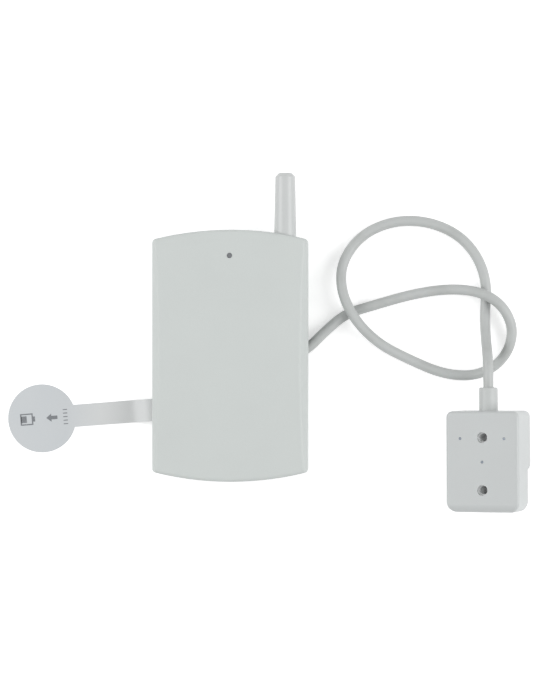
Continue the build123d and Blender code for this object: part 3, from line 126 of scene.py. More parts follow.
# The points carry the radius and the bevel takes it as it is, so the curve's box is the cable's own
cable_curve.bevel_depth = 1.0
cable_curve.bevel_resolution = 6
cable_curve.use_fill_caps = True
spline = cable_curve.splines.new("NURBS")
spline.points.add(len(CABLE_ROUTE) - 1)
for point, place in zip(spline.points, CABLE_ROUTE):
    point.co = (*place, 1.0)
    point.radius = CABLE_DIAMETER / 2
spline.order_u = 3
spline.use_endpoint_u = True
cable = bpy.data.objects.new("signal_cable", cable_curve)
scene.collection.objects.link(cable)
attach(cable, "transmitter")
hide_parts("probe_cable")

# Colours and shader nodes. Sizes of patterns are in millimetres

# Settings of nodes. A Mix node of colours takes them at inputs 6 and 7 and gives output 2
COLOURS = {"data_type": "RGBA"}
TIMES = {"operation": "MULTIPLY"}
LARGER = {"operation": "MAXIMUM"}

# Mouldings: the size of their clouds, and the radius and the patches of their rubbed edges
CLOUD_SIZE = 18.0
RUB_RADIUS = 0.5
RUB_PATCH = 5.0
# How far the surface turns in that radius, as a cosine, where the rub begins and where it is full
RUB_BEGINS = 0.995
RUB_FULL = 0.90
# How much smoother a rubbed edge is, and how soft the sheen of rubbery plastic is
RUB_POLISH = 0.12
SHEEN_ROUGHNESS = 0.35

# The probe's screw holes: their radius, how far outside it the painted light on their walls ends and is
# full, the probe's face above their mount's place, and the depths where that painted light begins and
# is full
HOLE_RADIUS = 2.1
HOLE_EDGE = 0.05
HOLE_FULL = 0.02
FACE_HEIGHT = 9.0
HOLE_LIGHT_FROM = 0.4
HOLE_LIGHT_AT = 2.2

# The pull tab's film: where, along x, the painted light near the case begins and is full
CASE_LIGHT_BEGINS = -66.0
CASE_LIGHT_FULL = -52.0

# Battery cells: how far from the plus end the nub, the copper band and the pale line reach, and the
# soft edge of each
NUB_REACH = 1.0
BAND_REACH = 12.9
LINE_REACH = 13.7
SOFT_EDGE = 0.1
# How far a cell's surface faces its end, as a cosine, where the bare metal begins and where it is full
BARE_BEGINS = 0.6
BARE_FULL = 0.8


def hex_colour(text):
    """An sRGB hex colour as linear red, green, blue and alpha."""
    parts = [int(text[i : i + 2], 16) / 255 for i in (0, 2, 4)]
    linear = [c / 12.92 if c <= 0.04045 else ((c + 0.055) / 1.055) ** 2.4 for c in parts]
    return (*linear, 1.0)


def per_metre(size):
    """The texture scale that makes a feature this many millimetres wide."""
    return 1 / (size * MM)


def add(tree, kind, settings=None, **links):
    """One shader node with its settings, its input values and its links. A keyword names the input,
    with _ for a space, or gives its number after an i."""
    node = tree.nodes.new(kind)
    for name, value in (settings or {}).items():
        setattr(node, name, value)
    for name, value in links.items():
        key = int(name[1:]) if name[0] == "i" and name[1:].isdigit() else name.replace("_", " ")
        socket = node.inputs[key]
        if isinstance(value, bpy.types.NodeSocket):
            tree.links.new(value, socket)
        else:
            socket.default_value = value
    return node


def start_finish(name):
    """An empty material, its node tree and the place on the piece in metres."""
    material = bpy.data.materials.new(name)
    material.use_nodes = True
    material.node_tree.nodes.clear()
    place = add(material.node_tree, "ShaderNodeTexCoord").outputs["Object"]
    return material, material.node_tree, place


def end_finish(material, shader):
    """Ends a material with its shader."""
    add(material.node_tree, "ShaderNodeOutputMaterial", Surface=shader.outputs["BSDF"])
    return material


def worn_edges(tree, place, radius, patch):
    """How far a point lies on a rubbed edge, 0 to 1, broken up in patches."""
    rounded = add(tree, "ShaderNodeBevel", {"samples": 4}, Radius=radius * MM)
    true = add(tree, "ShaderNodeNewGeometry")
    match = add(
        tree,
        "ShaderNodeVectorMath",
        {"operation": "DOT_PRODUCT"},
        i0=rounded.outputs["Normal"],
        i1=true.outputs["Normal"],
    )
    edge = add(
        tree,
        "ShaderNodeMapRange",
        Value=match.outputs["Value"],
        From_Min=RUB_BEGINS,
        From_Max=RUB_FULL,
    )
    rub = add(tree, "ShaderNodeTexNoise", Vector=place, Scale=per_metre(patch), Detail=3.0)
    broken = add(tree, "ShaderNodeMapRange", Value=rub.outputs["Fac"], From_Min=0.42, From_Max=0.66)
    both = add(
        tree,
        "ShaderNodeMath",
        TIMES,
        i0=edge.outputs["Result"],
        i1=broken.outputs["Result"],
    )
    return both.outputs["Value"]


def moulded_plastic(name, colour, shade, polished, grain, rough, depth, ior=1.53, sheen=0.0):
    """Injection-moulded plastic from a spark-eroded mould: an even matt grain, faint cloudy
    patches where the melt cooled slower, and edges that handling has rubbed smoother and paler.
    The grain is drawn coarser than real, to show. Its size is in millimetres."""
    material, tree, place = start_finish(name)
    pits = add(tree, "ShaderNodeTexNoise", Vector=place, Scale=per_metre(grain), Detail=3.0)
    clouds = add(tree, "ShaderNodeTexNoise", Vector=place, Scale=per_metre(CLOUD_SIZE), Detail=2.0)
    edge = worn_edges(tree, place, RUB_RADIUS, RUB_PATCH)
    cloudy = add(
        tree,
        "ShaderNodeMix",
        COLOURS,
        Factor=clouds.outputs["Fac"],
        i6=hex_colour(colour),
        i7=hex_colour(shade),
    )
    pitted = add(
        tree,
        "ShaderNodeMapRange",
        Value=pits.outputs["Fac"],
        From_Min=0.3,
        From_Max=0.7,
        To_Min=0.97,
        To_Max=1.0,
    )
    grained = add(
        tree,
        "ShaderNodeVectorMath",
        {"operation": "SCALE"},
        i0=cloudy.outputs[2],
        Scale=pitted.outputs["Result"],
    )
    rubbed = add(
        tree,
        "ShaderNodeMix",
        COLOURS,
        Factor=edge,
        i6=grained.outputs["Vector"],
        i7=hex_colour(polished),
    )
    gloss = add(
        tree,
        "ShaderNodeMapRange",
        Value=pits.outputs["Fac"],
        From_Min=0.3,
        From_Max=0.7,
        To_Min=rough - 0.05,
        To_Max=rough + 0.05,
    )
    smoother = add(
        tree,
        "ShaderNodeMath",
        {"operation": "MULTIPLY_ADD"},
        i0=edge,
        i1=-RUB_POLISH,
        i2=gloss.outputs["Result"],
    )
    bump = add(
        tree,
        "ShaderNodeBump",
        Height=pits.outputs["Fac"],
        Strength=depth,
        Distance=0.05 * MM,
    )
    shader = add(
        tree,
        "ShaderNodeBsdfPrincipled",
        Base_Color=rubbed.outputs[2],
        Roughness=smoother.outputs["Value"],
        Normal=bump.outputs["Normal"],
        IOR=ior,
        Sheen_Weight=sheen,
        Sheen_Roughness=SHEEN_ROUGHNESS,
    )
    return end_finish(material, shader)


def hole_light_mask(tree, place):
    """Where painted light goes on the probe's two screw holes: 1 deep on their walls, 0 at their rims
    and elsewhere.
    """
    mount = next(item for item in frame["record"]["mounts"] if item["name"] == "probe_screws")
    axis = Vector(mount["axis"])
    # The holes lie on a level line through the mount's place, square to their axis
    half = Vector((0, 0, 1)).cross(axis).normalized() * mount["dims"]["pcd_mm"] / 2 * MM
    distances = []
    for side in (-1, 1):
        offset = add(
            tree,
            "ShaderNodeVectorMath",
            {"operation": "SUBTRACT"},
            i0=place,
            i1=Vector(mount["pos_m"]) + side * half,
        )
        across = add(
            tree,
            "ShaderNodeVectorMath",
            {"operation": "CROSS_PRODUCT"},
            i0=offset.outputs["Vector"],
            i1=axis,
        )
        length = add(tree, "ShaderNodeVectorMath", {"operation": "LENGTH"}, i0=across.outputs["Vector"])
        distances.append(length.outputs["Value"])
    nearest = add(tree, "ShaderNodeMath", {"operation": "MINIMUM"}, i0=distances[0], i1=distances[1])
    inside = add(
        tree,
        "ShaderNodeMapRange",
        Value=nearest.outputs["Value"],
        From_Min=(HOLE_RADIUS + HOLE_EDGE) * MM,
        From_Max=(HOLE_RADIUS + HOLE_FULL) * MM,
    )
    height = add(tree, "ShaderNodeVectorMath", {"operation": "DOT_PRODUCT"}, i0=place, i1=axis)
    face = axis.dot(Vector(mount["pos_m"])) + FACE_HEIGHT * MM
    deep = add(
        tree,
        "ShaderNodeMapRange",
        Value=height.outputs["Value"],
        From_Min=face - HOLE_LIGHT_FROM * MM,
        From_Max=face - HOLE_LIGHT_AT * MM,
    )
    both = add(
        tree,
        "ShaderNodeMath",
        TIMES,
        i0=inside.outputs["Result"],
        i1=deep.outputs["Result"],
    )
    return both.outputs["Value"]


def paint_hole_light(material, colour):
    """Paints light on the screw holes' walls: a paler colour that lifts the shade deep in the holes,
    standing in for light soaking through the plastic.
    """
    tree = material.node_tree
    place = add(tree, "ShaderNodeTexCoord").outputs["Object"]
    shader = next(node for node in tree.nodes if node.type == "BSDF_PRINCIPLED")
    # Painted light: deep in the holes the walls are mixed towards a pale colour
    lit_walls = add(
        tree,
        "ShaderNodeMix",
        COLOURS,
        Factor=hole_light_mask(tree, place),
        i6=shader.inputs["Base Color"].links[0].from_socket,
        i7=hex_colour(colour),
    )
    tree.links.new(lit_walls.outputs[2], shader.inputs["Base Color"])


def soft_sheath(name, colour, handled, rough, skin):
    """Extruded flexible plastic: a smooth skin with a slight orange peel, a little greyer where
    it has been handled and dragged over the floor, and shinier where it has rubbed."""
    material, tree, place = start_finish(name)
    peel = add(tree, "ShaderNodeTexNoise", Vector=place, Scale=per_metre(skin), Detail=2.0)
    grime = add(tree, "ShaderNodeTexNoise", Vector=place, Scale=per_metre(9.0), Detail=5.0)
    dirty = add(tree, "ShaderNodeMapRange", Value=grime.outputs["Fac"], From_Min=0.45, From_Max=0.75)
    tinted = add(
        tree,
        "ShaderNodeMix",
        COLOURS,
        Factor=dirty.outputs["Result"],
        i6=hex_colour(colour),
        i7=hex_colour(handled),
    )
    gloss = add(
        tree,
        "ShaderNodeMapRange",
        Value=grime.outputs["Fac"],
        From_Min=0.35,
        From_Max=0.7,
        To_Min=rough + 0.06,
        To_Max=rough - 0.06,
    )
    bump = add(
        tree,
        "ShaderNodeBump",
        Height=peel.outputs["Fac"],
        Strength=0.2,
        Distance=0.04 * MM,
    )
    shader = add(
        tree,
        "ShaderNodeBsdfPrincipled",
        Base_Color=tinted.outputs[2],
        Roughness=gloss.outputs["Result"],
        Normal=bump.outputs["Normal"],
        IOR=1.52,
    )
    return end_finish(material, shader)


def plated_metal(name, colour, stain, rough, grain, lengthwise=(1, 1, 1)):
    """Sheet, wire or turned metal: fine draw lines, an uneven stain where the plating has dulled,
    and small changes of gloss from handling. The lines are drawn coarser than real, to show, and
    are long on the axes where lengthwise is small."""
    material, tree, place = start_finish(name)
    stretched = add(tree, "ShaderNodeMapping", Vector=place, Scale=lengthwise)
    lines = add(
        tree,
        "ShaderNodeTexNoise",
        Vector=stretched.outputs["Vector"],
        Scale=per_metre(grain),
        Detail=4.0,
    )
    dulled = add(tree, "ShaderNodeTexNoise", Vector=place, Scale=per_metre(3.0), Detail=5.0)
    patches = add(tree, "ShaderNodeMapRange", Value=dulled.outputs["Fac"], From_Min=0.4, From_Max=0.75)
    tinted = add(
        tree,
        "ShaderNodeMix",
        COLOURS,
        Factor=patches.outputs["Result"],
        i6=hex_colour(colour),
        i7=hex_colour(stain),
    )
    gloss = add(
        tree,
        "ShaderNodeMapRange",
        Value=lines.outputs["Fac"],
        From_Min=0.3,
        From_Max=0.7,
        To_Min=rough - 0.07,
        To_Max=rough + 0.09,
    )
    bump = add(
        tree,
        "ShaderNodeBump",
        Height=lines.outputs["Fac"],
        Strength=0.25,
        Distance=0.02 * MM,
    )
    shader = add(
        tree,
        "ShaderNodeBsdfPrincipled",
        Base_Color=tinted.outputs[2],
        Metallic=1.0,
        Roughness=gloss.outputs["Result"],
        Normal=bump.outputs["Normal"],
    )
    return end_finish(material, shader)


def polyester_film():
    """Polyester film for the pull tab: a bluish milky white, with painted light towards the case that
    lifts the shade where it rises to the slot, and fine scratches along it. They are drawn 0.15 mm
    wide, coarser than real, to show."""
    material, tree, place = start_finish("milky_polyester_film")
    across = add(tree, "ShaderNodeMapping", Vector=place, Scale=(0.12, 1, 1))
    scratches = add(
        tree,
        "ShaderNodeTexNoise",
        Vector=across.outputs["Vector"],
        Scale=per_metre(0.15),
        Detail=3.0,
    )
    haze = add(tree, "ShaderNodeTexNoise", Vector=place, Scale=per_metre(14.0), Detail=3.0)
    disc = add(
        tree,
        "ShaderNodeMix",
        COLOURS,
        Factor=haze.outputs["Fac"],
        i6=hex_colour("C8CDD0"),
        i7=hex_colour("CDD0D2"),
    )
    parts = add(tree, "ShaderNodeSeparateXYZ", Vector=place)
    case_light = add(
        tree,
        "ShaderNodeMapRange",
        Value=parts.outputs["X"],
        From_Min=CASE_LIGHT_BEGINS * MM,
        From_Max=CASE_LIGHT_FULL * MM,
    )
    # Painted light: the film is drawn paler towards the case
    tinted = add(
        tree,
        "ShaderNodeMix",
        COLOURS,
        Factor=case_light.outputs["Result"],
        i6=disc.outputs[2],
        i7=hex_colour("DADCDC"),
    )
    gloss = add(
        tree,
        "ShaderNodeMapRange",
        Value=scratches.outputs["Fac"],
        From_Min=0.35,
        From_Max=0.7,
        To_Min=0.46,
        To_Max=0.54,
    )
    bump = add(
        tree,
        "ShaderNodeBump",
        Height=scratches.outputs["Fac"],
        Strength=0.05,
        Distance=0.01 * MM,
    )
    shader = add(
        tree,
        "ShaderNodeBsdfPrincipled",
        Base_Color=tinted.outputs[2],
        Roughness=gloss.outputs["Result"],
        Normal=bump.outputs["Normal"],
        IOR=1.57,
    )
    return end_finish(material, shader)


def printed_ink(name, colour, ground):
    """Screen-printed ink: matt, a touch uneven, with small pinholes that let the ground show. They
    are drawn 0.25 mm wide, coarser than real, to show."""
    material, tree, place = start_finish(name)
    mesh_marks = add(tree, "ShaderNodeTexNoise", Vector=place, Scale=per_metre(0.25), Detail=2.0)
    holes = add(
        tree,
        "ShaderNodeMapRange",
        Value=mesh_marks.outputs["Fac"],
        From_Min=0.62,
        From_Max=0.72,
    )
    inked = add(
        tree,
        "ShaderNodeMix",
        COLOURS,
        Factor=holes.outputs["Result"],
        i6=hex_colour(colour),
        i7=hex_colour(ground),
    )
    gloss = add(tree, "ShaderNodeMapRange", Value=mesh_marks.outputs["Fac"], To_Min=0.5, To_Max=0.7)
    bump = add(
        tree,
        "ShaderNodeBump",
        Height=mesh_marks.outputs["Fac"],
        Strength=0.15,
        Distance=0.01 * MM,
    )
    shader = add(
        tree,
        "ShaderNodeBsdfPrincipled",
        Base_Color=inked.outputs[2],
        Roughness=gloss.outputs["Result"],
        Normal=bump.outputs["Normal"],
        IOR=1.5,
    )
    return end_finish(material, shader)


def smoked_window():
    """Smoked acrylic of the light window: dark grey and glossy, with a faint milky core and the
    hairline scuffs that a proud plastic lens collects."""
    material, tree, place = start_finish("smoked_acrylic_window")
    scuffs = add(tree, "ShaderNodeTexNoise", Vector=place, Scale=per_metre(0.2), Detail=5.0)
    core = add(tree, "ShaderNodeTexNoise", Vector=place, Scale=per_metre(1.2), Detail=1.0)
    tinted = add(
        tree,
        "ShaderNodeMix",
        COLOURS,
        Factor=core.outputs["Fac"],
        i6=hex_colour("696C6F"),
        i7=hex_colour("818487"),
    )
    gloss = add(
        tree,
        "ShaderNodeMapRange",
        Value=scuffs.outputs["Fac"],
        From_Min=0.45,
        From_Max=0.7,
        To_Min=0.08,
        To_Max=0.28,
    )
    bump = add(
        tree,
        "ShaderNodeBump",
        Height=scuffs.outputs["Fac"],
        Strength=0.08,
        Distance=0.01 * MM,
    )
    shader = add(
        tree,
        "ShaderNodeBsdfPrincipled",
        Base_Color=tinted.outputs[2],
        Roughness=gloss.outputs["Result"],
        Normal=bump.outputs["Normal"],
        IOR=1.49,
    )
    return end_finish(material, shader)


def solder_mask():
    """Green solder mask over copper: tracks 0.5 mm wide stand a little proud and show paler, the
    bare laminate between them is darker, and the cut edges show straw-coloured glass fibre."""
    material, tree, place = start_finish("green_solder_mask")
    cells = add(
        tree,
        "ShaderNodeTexVoronoi",
        {"feature": "F2", "distance": "MANHATTAN"},
        Vector=place,
        Scale=per_metre(4.6),
        Randomness=0.85,
    )
    near = add(
        tree,
        "ShaderNodeTexVoronoi",
        {"feature": "F1", "distance": "MANHATTAN"},
        Vector=place,
        Scale=per_metre(4.6),
        Randomness=0.85,
    )
    apart = add(
        tree,
        "ShaderNodeMath",
        {"operation": "SUBTRACT"},
        i0=cells.outputs["Distance"],
        i1=near.outputs["Distance"],
    )
    tracks = add(tree, "ShaderNodeMapRange", Value=apart.outputs["Value"], From_Min=0.16, From_Max=0.12)
    vias = add(tree, "ShaderNodeMapRange", Value=near.outputs["Distance"], From_Min=0.1, From_Max=0.07)
    copper = add(
        tree,
        "ShaderNodeMath",
        LARGER,
        i0=tracks.outputs["Result"],
        i1=vias.outputs["Result"],
    )
    flow = add(tree, "ShaderNodeTexNoise", Vector=place, Scale=per_metre(6.0), Detail=3.0)
    laminate = add(
        tree,
        "ShaderNodeMix",
        COLOURS,
        Factor=flow.outputs["Fac"],
        i6=hex_colour("12482A"),
        i7=hex_colour("185433"),
    )
    masked = add(
        tree,
        "ShaderNodeMix",
        COLOURS,
        Factor=copper.outputs["Value"],
        i6=laminate.outputs[2],
        i7=hex_colour("2B7A48"),
    )
    surface = add(tree, "ShaderNodeNewGeometry")
    facing = add(tree, "ShaderNodeSeparateXYZ", Vector=surface.outputs["Normal"])
    level = add(tree, "ShaderNodeMath", {"operation": "ABSOLUTE"}, i0=facing.outputs["Z"])
    cut_edge = add(tree, "ShaderNodeMapRange", Value=level.outputs["Value"], From_Min=0.6, From_Max=0.4)
    fibre = add(
        tree,
        "ShaderNodeMix",
        COLOURS,
        Factor=cut_edge.outputs["Result"],
        i6=masked.outputs[2],
        i7=hex_colour("A89A62"),
    )
    gloss = add(tree, "ShaderNodeMapRange", Value=flow.outputs["Fac"], To_Min=0.22, To_Max=0.4)
    bump = add(
        tree,
        "ShaderNodeBump",
        Height=copper.outputs["Value"],
        Strength=0.5,
        Distance=0.04 * MM,
    )
    shader = add(
        tree,
        "ShaderNodeBsdfPrincipled",
        Base_Color=fibre.outputs[2],
        Roughness=gloss.outputs["Result"],
        Normal=bump.outputs["Normal"],
        IOR=1.55,
    )
    return end_finish(material, shader)


def cell_jacket(name, node, tip_side):
    """Printed steel jacket of a dry cell: a dark lacquered body with a copper band and a pale line
    at the plus end, bare nickel end faces, and light rubbing along the jacket. The plus end is on
    the side of high x where tip_side is 1, and of low x where it is -1."""
    material, tree, place = start_finish(name)
    low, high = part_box(node)
    tip = (high if tip_side > 0 else low).x
    parts = add(tree, "ShaderNodeSeparateXYZ", Vector=place)
    inward = add(
        tree,
        "ShaderNodeMath",
        {"operation": "MULTIPLY_ADD"},
        i0=parts.outputs["X"],
        i1=-float(tip_side),
        i2=tip_side * tip,
    )
    band = add(
        tree,
        "ShaderNodeMapRange",
        Value=inward.outputs["Value"],
        From_Min=(BAND_REACH + SOFT_EDGE) * MM,
        From_Max=BAND_REACH * MM,
    )
    line_mark = add(
        tree,
        "ShaderNodeMapRange",
        Value=inward.outputs["Value"],
        From_Min=(LINE_REACH + SOFT_EDGE) * MM,
        From_Max=LINE_REACH * MM,
    )
    rub = add(tree, "ShaderNodeTexNoise", Vector=place, Scale=per_metre(4.0), Detail=5.0)
    dark = add(
        tree,
        "ShaderNodeMix",
        COLOURS,
        Factor=rub.outputs["Fac"],
        i6=hex_colour("1E2733"),
        i7=hex_colour("2A3442"),
    )
    lined = add(
        tree,
        "ShaderNodeMix",
        COLOURS,
        Factor=line_mark.outputs["Result"],
        i6=dark.outputs[2],
        i7=hex_colour("D9DADA"),
    )
    banded = add(
        tree,
        "ShaderNodeMix",
        COLOURS,
        Factor=band.outputs["Result"],
        i6=lined.outputs[2],
        i7=hex_colour("B87945"),
    )
    surface = add(tree, "ShaderNodeNewGeometry")
    facing = add(tree, "ShaderNodeSeparateXYZ", Vector=surface.outputs["Normal"])
    along = add(tree, "ShaderNodeMath", {"operation": "ABSOLUTE"}, i0=facing.outputs["X"])
    end_face = add(
        tree,
        "ShaderNodeMapRange",
        Value=along.outputs["Value"],
        From_Min=BARE_BEGINS,
        From_Max=BARE_FULL,
    )
    nub = add(
        tree,
        "ShaderNodeMapRange",
        Value=inward.outputs["Value"],
        From_Min=(NUB_REACH + SOFT_EDGE) * MM,
        From_Max=NUB_REACH * MM,
    )
    bare = add(
        tree,
        "ShaderNodeMath",
        LARGER,
        i0=end_face.outputs["Result"],
        i1=nub.outputs["Result"],
    )
    ended = add(
        tree,
        "ShaderNodeMix",
        COLOURS,
        Factor=bare.outputs["Value"],
        i6=banded.outputs[2],
        i7=hex_colour("BFC0BC"),
    )
    shine = add(
        tree,
        "ShaderNodeMath",
        LARGER,
        i0=bare.outputs["Value"],
        i1=band.outputs["Result"],
    )
    gloss = add(tree, "ShaderNodeMapRange", Value=rub.outputs["Fac"], To_Min=0.18, To_Max=0.36)
    bump = add(
        tree,
        "ShaderNodeBump",
        Height=rub.outputs["Fac"],
        Strength=0.06,
        Distance=0.02 * MM,
    )
    shader = add(
        tree,
        "ShaderNodeBsdfPrincipled",
        Base_Color=ended.outputs[2],
        Metallic=shine.outputs["Value"],
        Roughness=gloss.outputs["Result"],
        Normal=bump.outputs["Normal"],
    )
    return end_finish(material, shader)


# ABS of the front cover: a pale cool grey, matt, with a grain that only shows close by
cover_abs = moulded_plastic(
    "spark_eroded_abs", "D0D5D3", "CCD1CF", "D9DDDB", grain=0.4, rough=0.53, depth=0.25
)
# The same ABS in the rear shell, drawn a touch darker as painted shade, for the shell lies in the
# cover's shade
shaded_rear_abs = moulded_plastic(
    "spark_eroded_abs_rear_shaded", "CACFCD", "C5CAC8", "D3D7D5", grain=0.4, rough=0.50, depth=0.25
)
# ABS of the probe: the same grey, a shade darker, moulded glossier, with painted light deep in its
# screw holes
probe_abs = moulded_plastic(
    "satin_abs_probe", "C9CDCD", "C5C8C8", "D5D8D7", grain=0.3, rough=0.38, depth=0.18
)
# The pale colour in the screw holes is painted light that lifts their shade
paint_hole_light(probe_abs, "F6F7F7")
# TPU of the antenna sleeve: smooth and a little rubbery, with a soft sheen
sleeve_tpu = moulded_plastic(
    "soft_tpu_sleeve",
    "CDCFCF",
    "CACDCC",
    "D4D6D5",
    grain=0.5,
    rough=0.36,
    depth=0.03,
    ior=1.55,
    sheen=0.6,
)
# TPU of the probe's collar: a shade greyer, matter and more grained
collar_tpu = moulded_plastic(
    "soft_tpu_collar", "C8CBCA", "C3C6C5", "D0D2D1", grain=0.5, rough=0.42, depth=0.2, ior=1.5
)
# Nylon of the connector: ivory and waxy
connector_nylon = moulded_plastic(
    "ivory_nylon", "DAD6C6", "D2CDBC", "E4E0D2", grain=0.3, rough=0.42, depth=0.15
)
# Black nylon of the cable tie: waxy, with pale rubbed ridges
tie_nylon = moulded_plastic(
    "black_nylon", "1C1C1D", "232324", "3A3A3B", grain=0.3, rough=0.45, depth=0.2
)
# Epoxy moulding compound of the chips: black with a fine pale filler, ground matt on top
chip_epoxy = moulded_plastic(
    "epoxy_moulding_compound", "222223", "2A2A2B", "454546", grain=0.15, rough=0.62, depth=0.4
)
# Fired ceramic of the small components: tan and brown bodies, slightly rough
component_ceramic = moulded_plastic(
    "fired_ceramic", "8E6F4E", "5E4936", "A88A66", grain=0.12, rough=0.55, depth=0.3, ior=1.7
)
# Epoxy of the status light: smooth white with a warm cast from its phosphor
light_epoxy = moulded_plastic(
    "phosphor_white_epoxy", "E3DDB8", "D8C98C", "EFEBD6", grain=0.3, rough=0.3, depth=0.1
)
# PVC of the signal cable: soft, grey, darker than the mouldings, picking up dust
cable_pvc = soft_sheath("soft_grey_pvc", "BEC1C0", "B4B7B5", rough=0.42, skin=0.6)
# PVC of the cores and leads: thin and shiny
core_red = soft_sheath("red_core_pvc", "B22A26", "8F2220", rough=0.32, skin=0.3)
core_white = soft_sheath("white_core_pvc", "E4E4E0", "D3D3CE", rough=0.32, skin=0.3)
core_black = soft_sheath("black_core_pvc", "1B1B1D", "2A2A2C", rough=0.32, skin=0.3)
# Nickel-plated steel of the contacts and the antenna's rod: bright with faint yellow stains
contact_nickel = plated_metal(
    "nickel_plated_wire", "C9C6BD", "A8A294", rough=0.24, grain=0.12, lengthwise=(1, 0.2, 0.2)
)
# Zinc-plated screws: slightly blue, streaked from turning
screw_zinc = plated_metal(
    "zinc_plated_steel", "B6B9BC", "8F9194", rough=0.34, grain=0.15, lengthwise=(1, 1, 0.2)
)
# Tinned copper of the pins, end caps and pads: bright and soft-edged
tin_solder = plated_metal("tinned_copper", "C9CACB", "A9ABAC", rough=0.28, grain=0.2)
# Drawn aluminium cans: satin, with draw lines up their sides
drawn_can = plated_metal(
    "drawn_aluminium_can", "C2C4C6", "A6A8AA", rough=0.3, grain=0.15, lengthwise=(1, 1, 0.15)
)
# Brass electrodes that have dulled to a dark blue-grey from wet floors
electrode_brass = plated_metal("weathered_brass_pin", "7F858C", "62686F", rough=0.42, grain=0.2)
tab_film = polyester_film()
# Ink of the tab's marks: mid grey, with the milky film showing through its pinholes
tab_ink = printed_ink("grey_screen_ink", "7B7E82", ground="B4BABE")
# Ink of the board's outlines: white, with the green mask showing through its pinholes
board_ink = printed_ink("white_screen_ink", "DEDFDB", ground="7FA48C")
window_acrylic = smoked_window()
board_mask = solder_mask()
upper_jacket = cell_jacket("lacquered_steel_upper", "battery_cell_upper", tip_side=-1)
lower_jacket = cell_jacket("lacquered_steel_lower", "battery_cell_lower", tip_side=1)

FINISHES = {
    "front_cover": cover_abs,
    "rear_shell": shaded_rear_abs,
    "light_pipe": window_acrylic,
    "antenna_sleeve": sleeve_tpu,
    "probe_collar": collar_tpu,
    "probe_housing": probe_abs,
    "probe_base": probe_abs,
    "pull_tab": tab_film,
    "probe_cable": cable_pvc,
    "cable_tail": cable_pvc,
    "cable_tie": tie_nylon,
    "core_red": core_red,
    "core_white": core_white,
    "core_black": core_black,
    "lead_red": core_red,
    "lead_black": core_black,
    "antenna_lead": core_black,
    "antenna_element": contact_nickel,
    "circuit_board": board_mask,
    "board_screws": screw_zinc,
    "status_led": light_epoxy,
    "microcontroller": chip_epoxy,
    "radio_chip": chip_epoxy,
    "resonator": drawn_can,
    "crystal": drawn_can,
    "capacitor": drawn_can,
    "chip_components": component_ceramic,
    "chip_pins": tin_solder,
    "cable_socket": connector_nylon,
    "cable_plug": connector_nylon,
    "battery_cell_upper": upper_jacket,
    "battery_cell_lower": lower_jacket,
    "positive_contact": contact_nickel,
    "negative_contact": contact_nickel,
    "bridging_contact": contact_nickel,
    "electrode_left": electrode_brass,
    "electrode_right": electrode_brass,
    "electrode_centre": electrode_brass,
}
for node, finish in FINISHES.items():
    mesh = nodes[node].data
    mesh.materials.clear()
    mesh.materials.append(finish)
cable_curve.materials.append(cable_pvc)


def finish_piece(name, form, finish, body="transmitter"):
    """Makes an object of a finished mesh form that rides on a body."""
    bmesh.ops.recalc_face_normals(form, faces=form.faces)
    mesh = bpy.data.meshes.new(name)
    form.to_mesh(mesh)
    form.free()
    mesh.materials.append(finish)
    piece = bpy.data.objects.new(name, mesh)
    scene.collection.objects.link(piece)
    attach(piece, body)
    return piece


# Marks printed on the pull tab: an arrow that shows which way to pull, a plain battery sign at the
# end and a row of short grip bars. Sizes are in millimetres: TAB_ROOT is where the tab's middle line
# leaves the case, the places ending in AT lie along that line, and TAB_SKEW is its turn in degrees

TAB_ROOT = (-30.3, -21.2)
TAB_SKEW = 4.5
INK_DEPTH = 0.03
INK_OVERLAP = 0.01
ARROW_AT = 41.2
BATTERY_AT = 51.2
BARS_AT = 35.8
BAR_PITCH = 1.4
BAR_COUNT = 5
BAR_SIZE = (1.7, 0.35)
BATTERY_SIZE = (5.0, 4.6)
BATTERY_WALL = 0.7
BATTERY_NUB = (0.8, 2.0)
BATTERY_CHARGE = (2.2, 2.6)
ARROW_OUTLINE = (
    (2.2, 0.0),
    (0.2, 1.6),
    (0.2, 0.7),
    (-2.2, 0.7),
    (-2.2, -0.7),
    (0.2, -0.7),
    (0.2, -1.6),
)

disc_starts = (TAB_ROOT[0] - ARROW_AT) * MM
disc_heights = [corner.co.z for corner in nodes["pull_tab"].data.vertices if corner.co.x < disc_starts]
ink_bottom = max(disc_heights) - INK_OVERLAP * MM
# The marks are drawn with the way along the tab, away from the case, as x
tab_start = Matrix.Translation((TAB_ROOT[0] * MM, TAB_ROOT[1] * MM, ink_bottom))
tab_place = tab_start @ Matrix.Rotation(math.radians(180 + TAB_SKEW), 4, "Z")


def ink_rectangle(form, along, across, size):
    """A flat rectangle of ink round a place, all in millimetres. Gives its faces."""
    # A grid of this size is 1 wide
    made = bmesh.ops.create_grid(form, x_segments=1, y_segments=1, size=0.5)
    bmesh.ops.scale(form, vec=(size[0] * MM, size[1] * MM, 1), verts=made["verts"])
    bmesh.ops.translate(form, vec=(along * MM, across * MM, 0), verts=made["verts"])
    return list({face for corner in made["verts"] for face in corner.link_faces})


def raise_ink(form, place):
    """Gives flat ink its thickness and puts it in its place."""
    grown = bmesh.ops.extrude_face_region(form, geom=form.faces[:])
    tops = [part for part in grown["geom"] if isinstance(part, bmesh.types.BMVert)]
    bmesh.ops.translate(form, vec=(0, 0, (INK_DEPTH + INK_OVERLAP) * MM), verts=tops)
    bmesh.ops.transform(form, matrix=place, verts=form.verts)


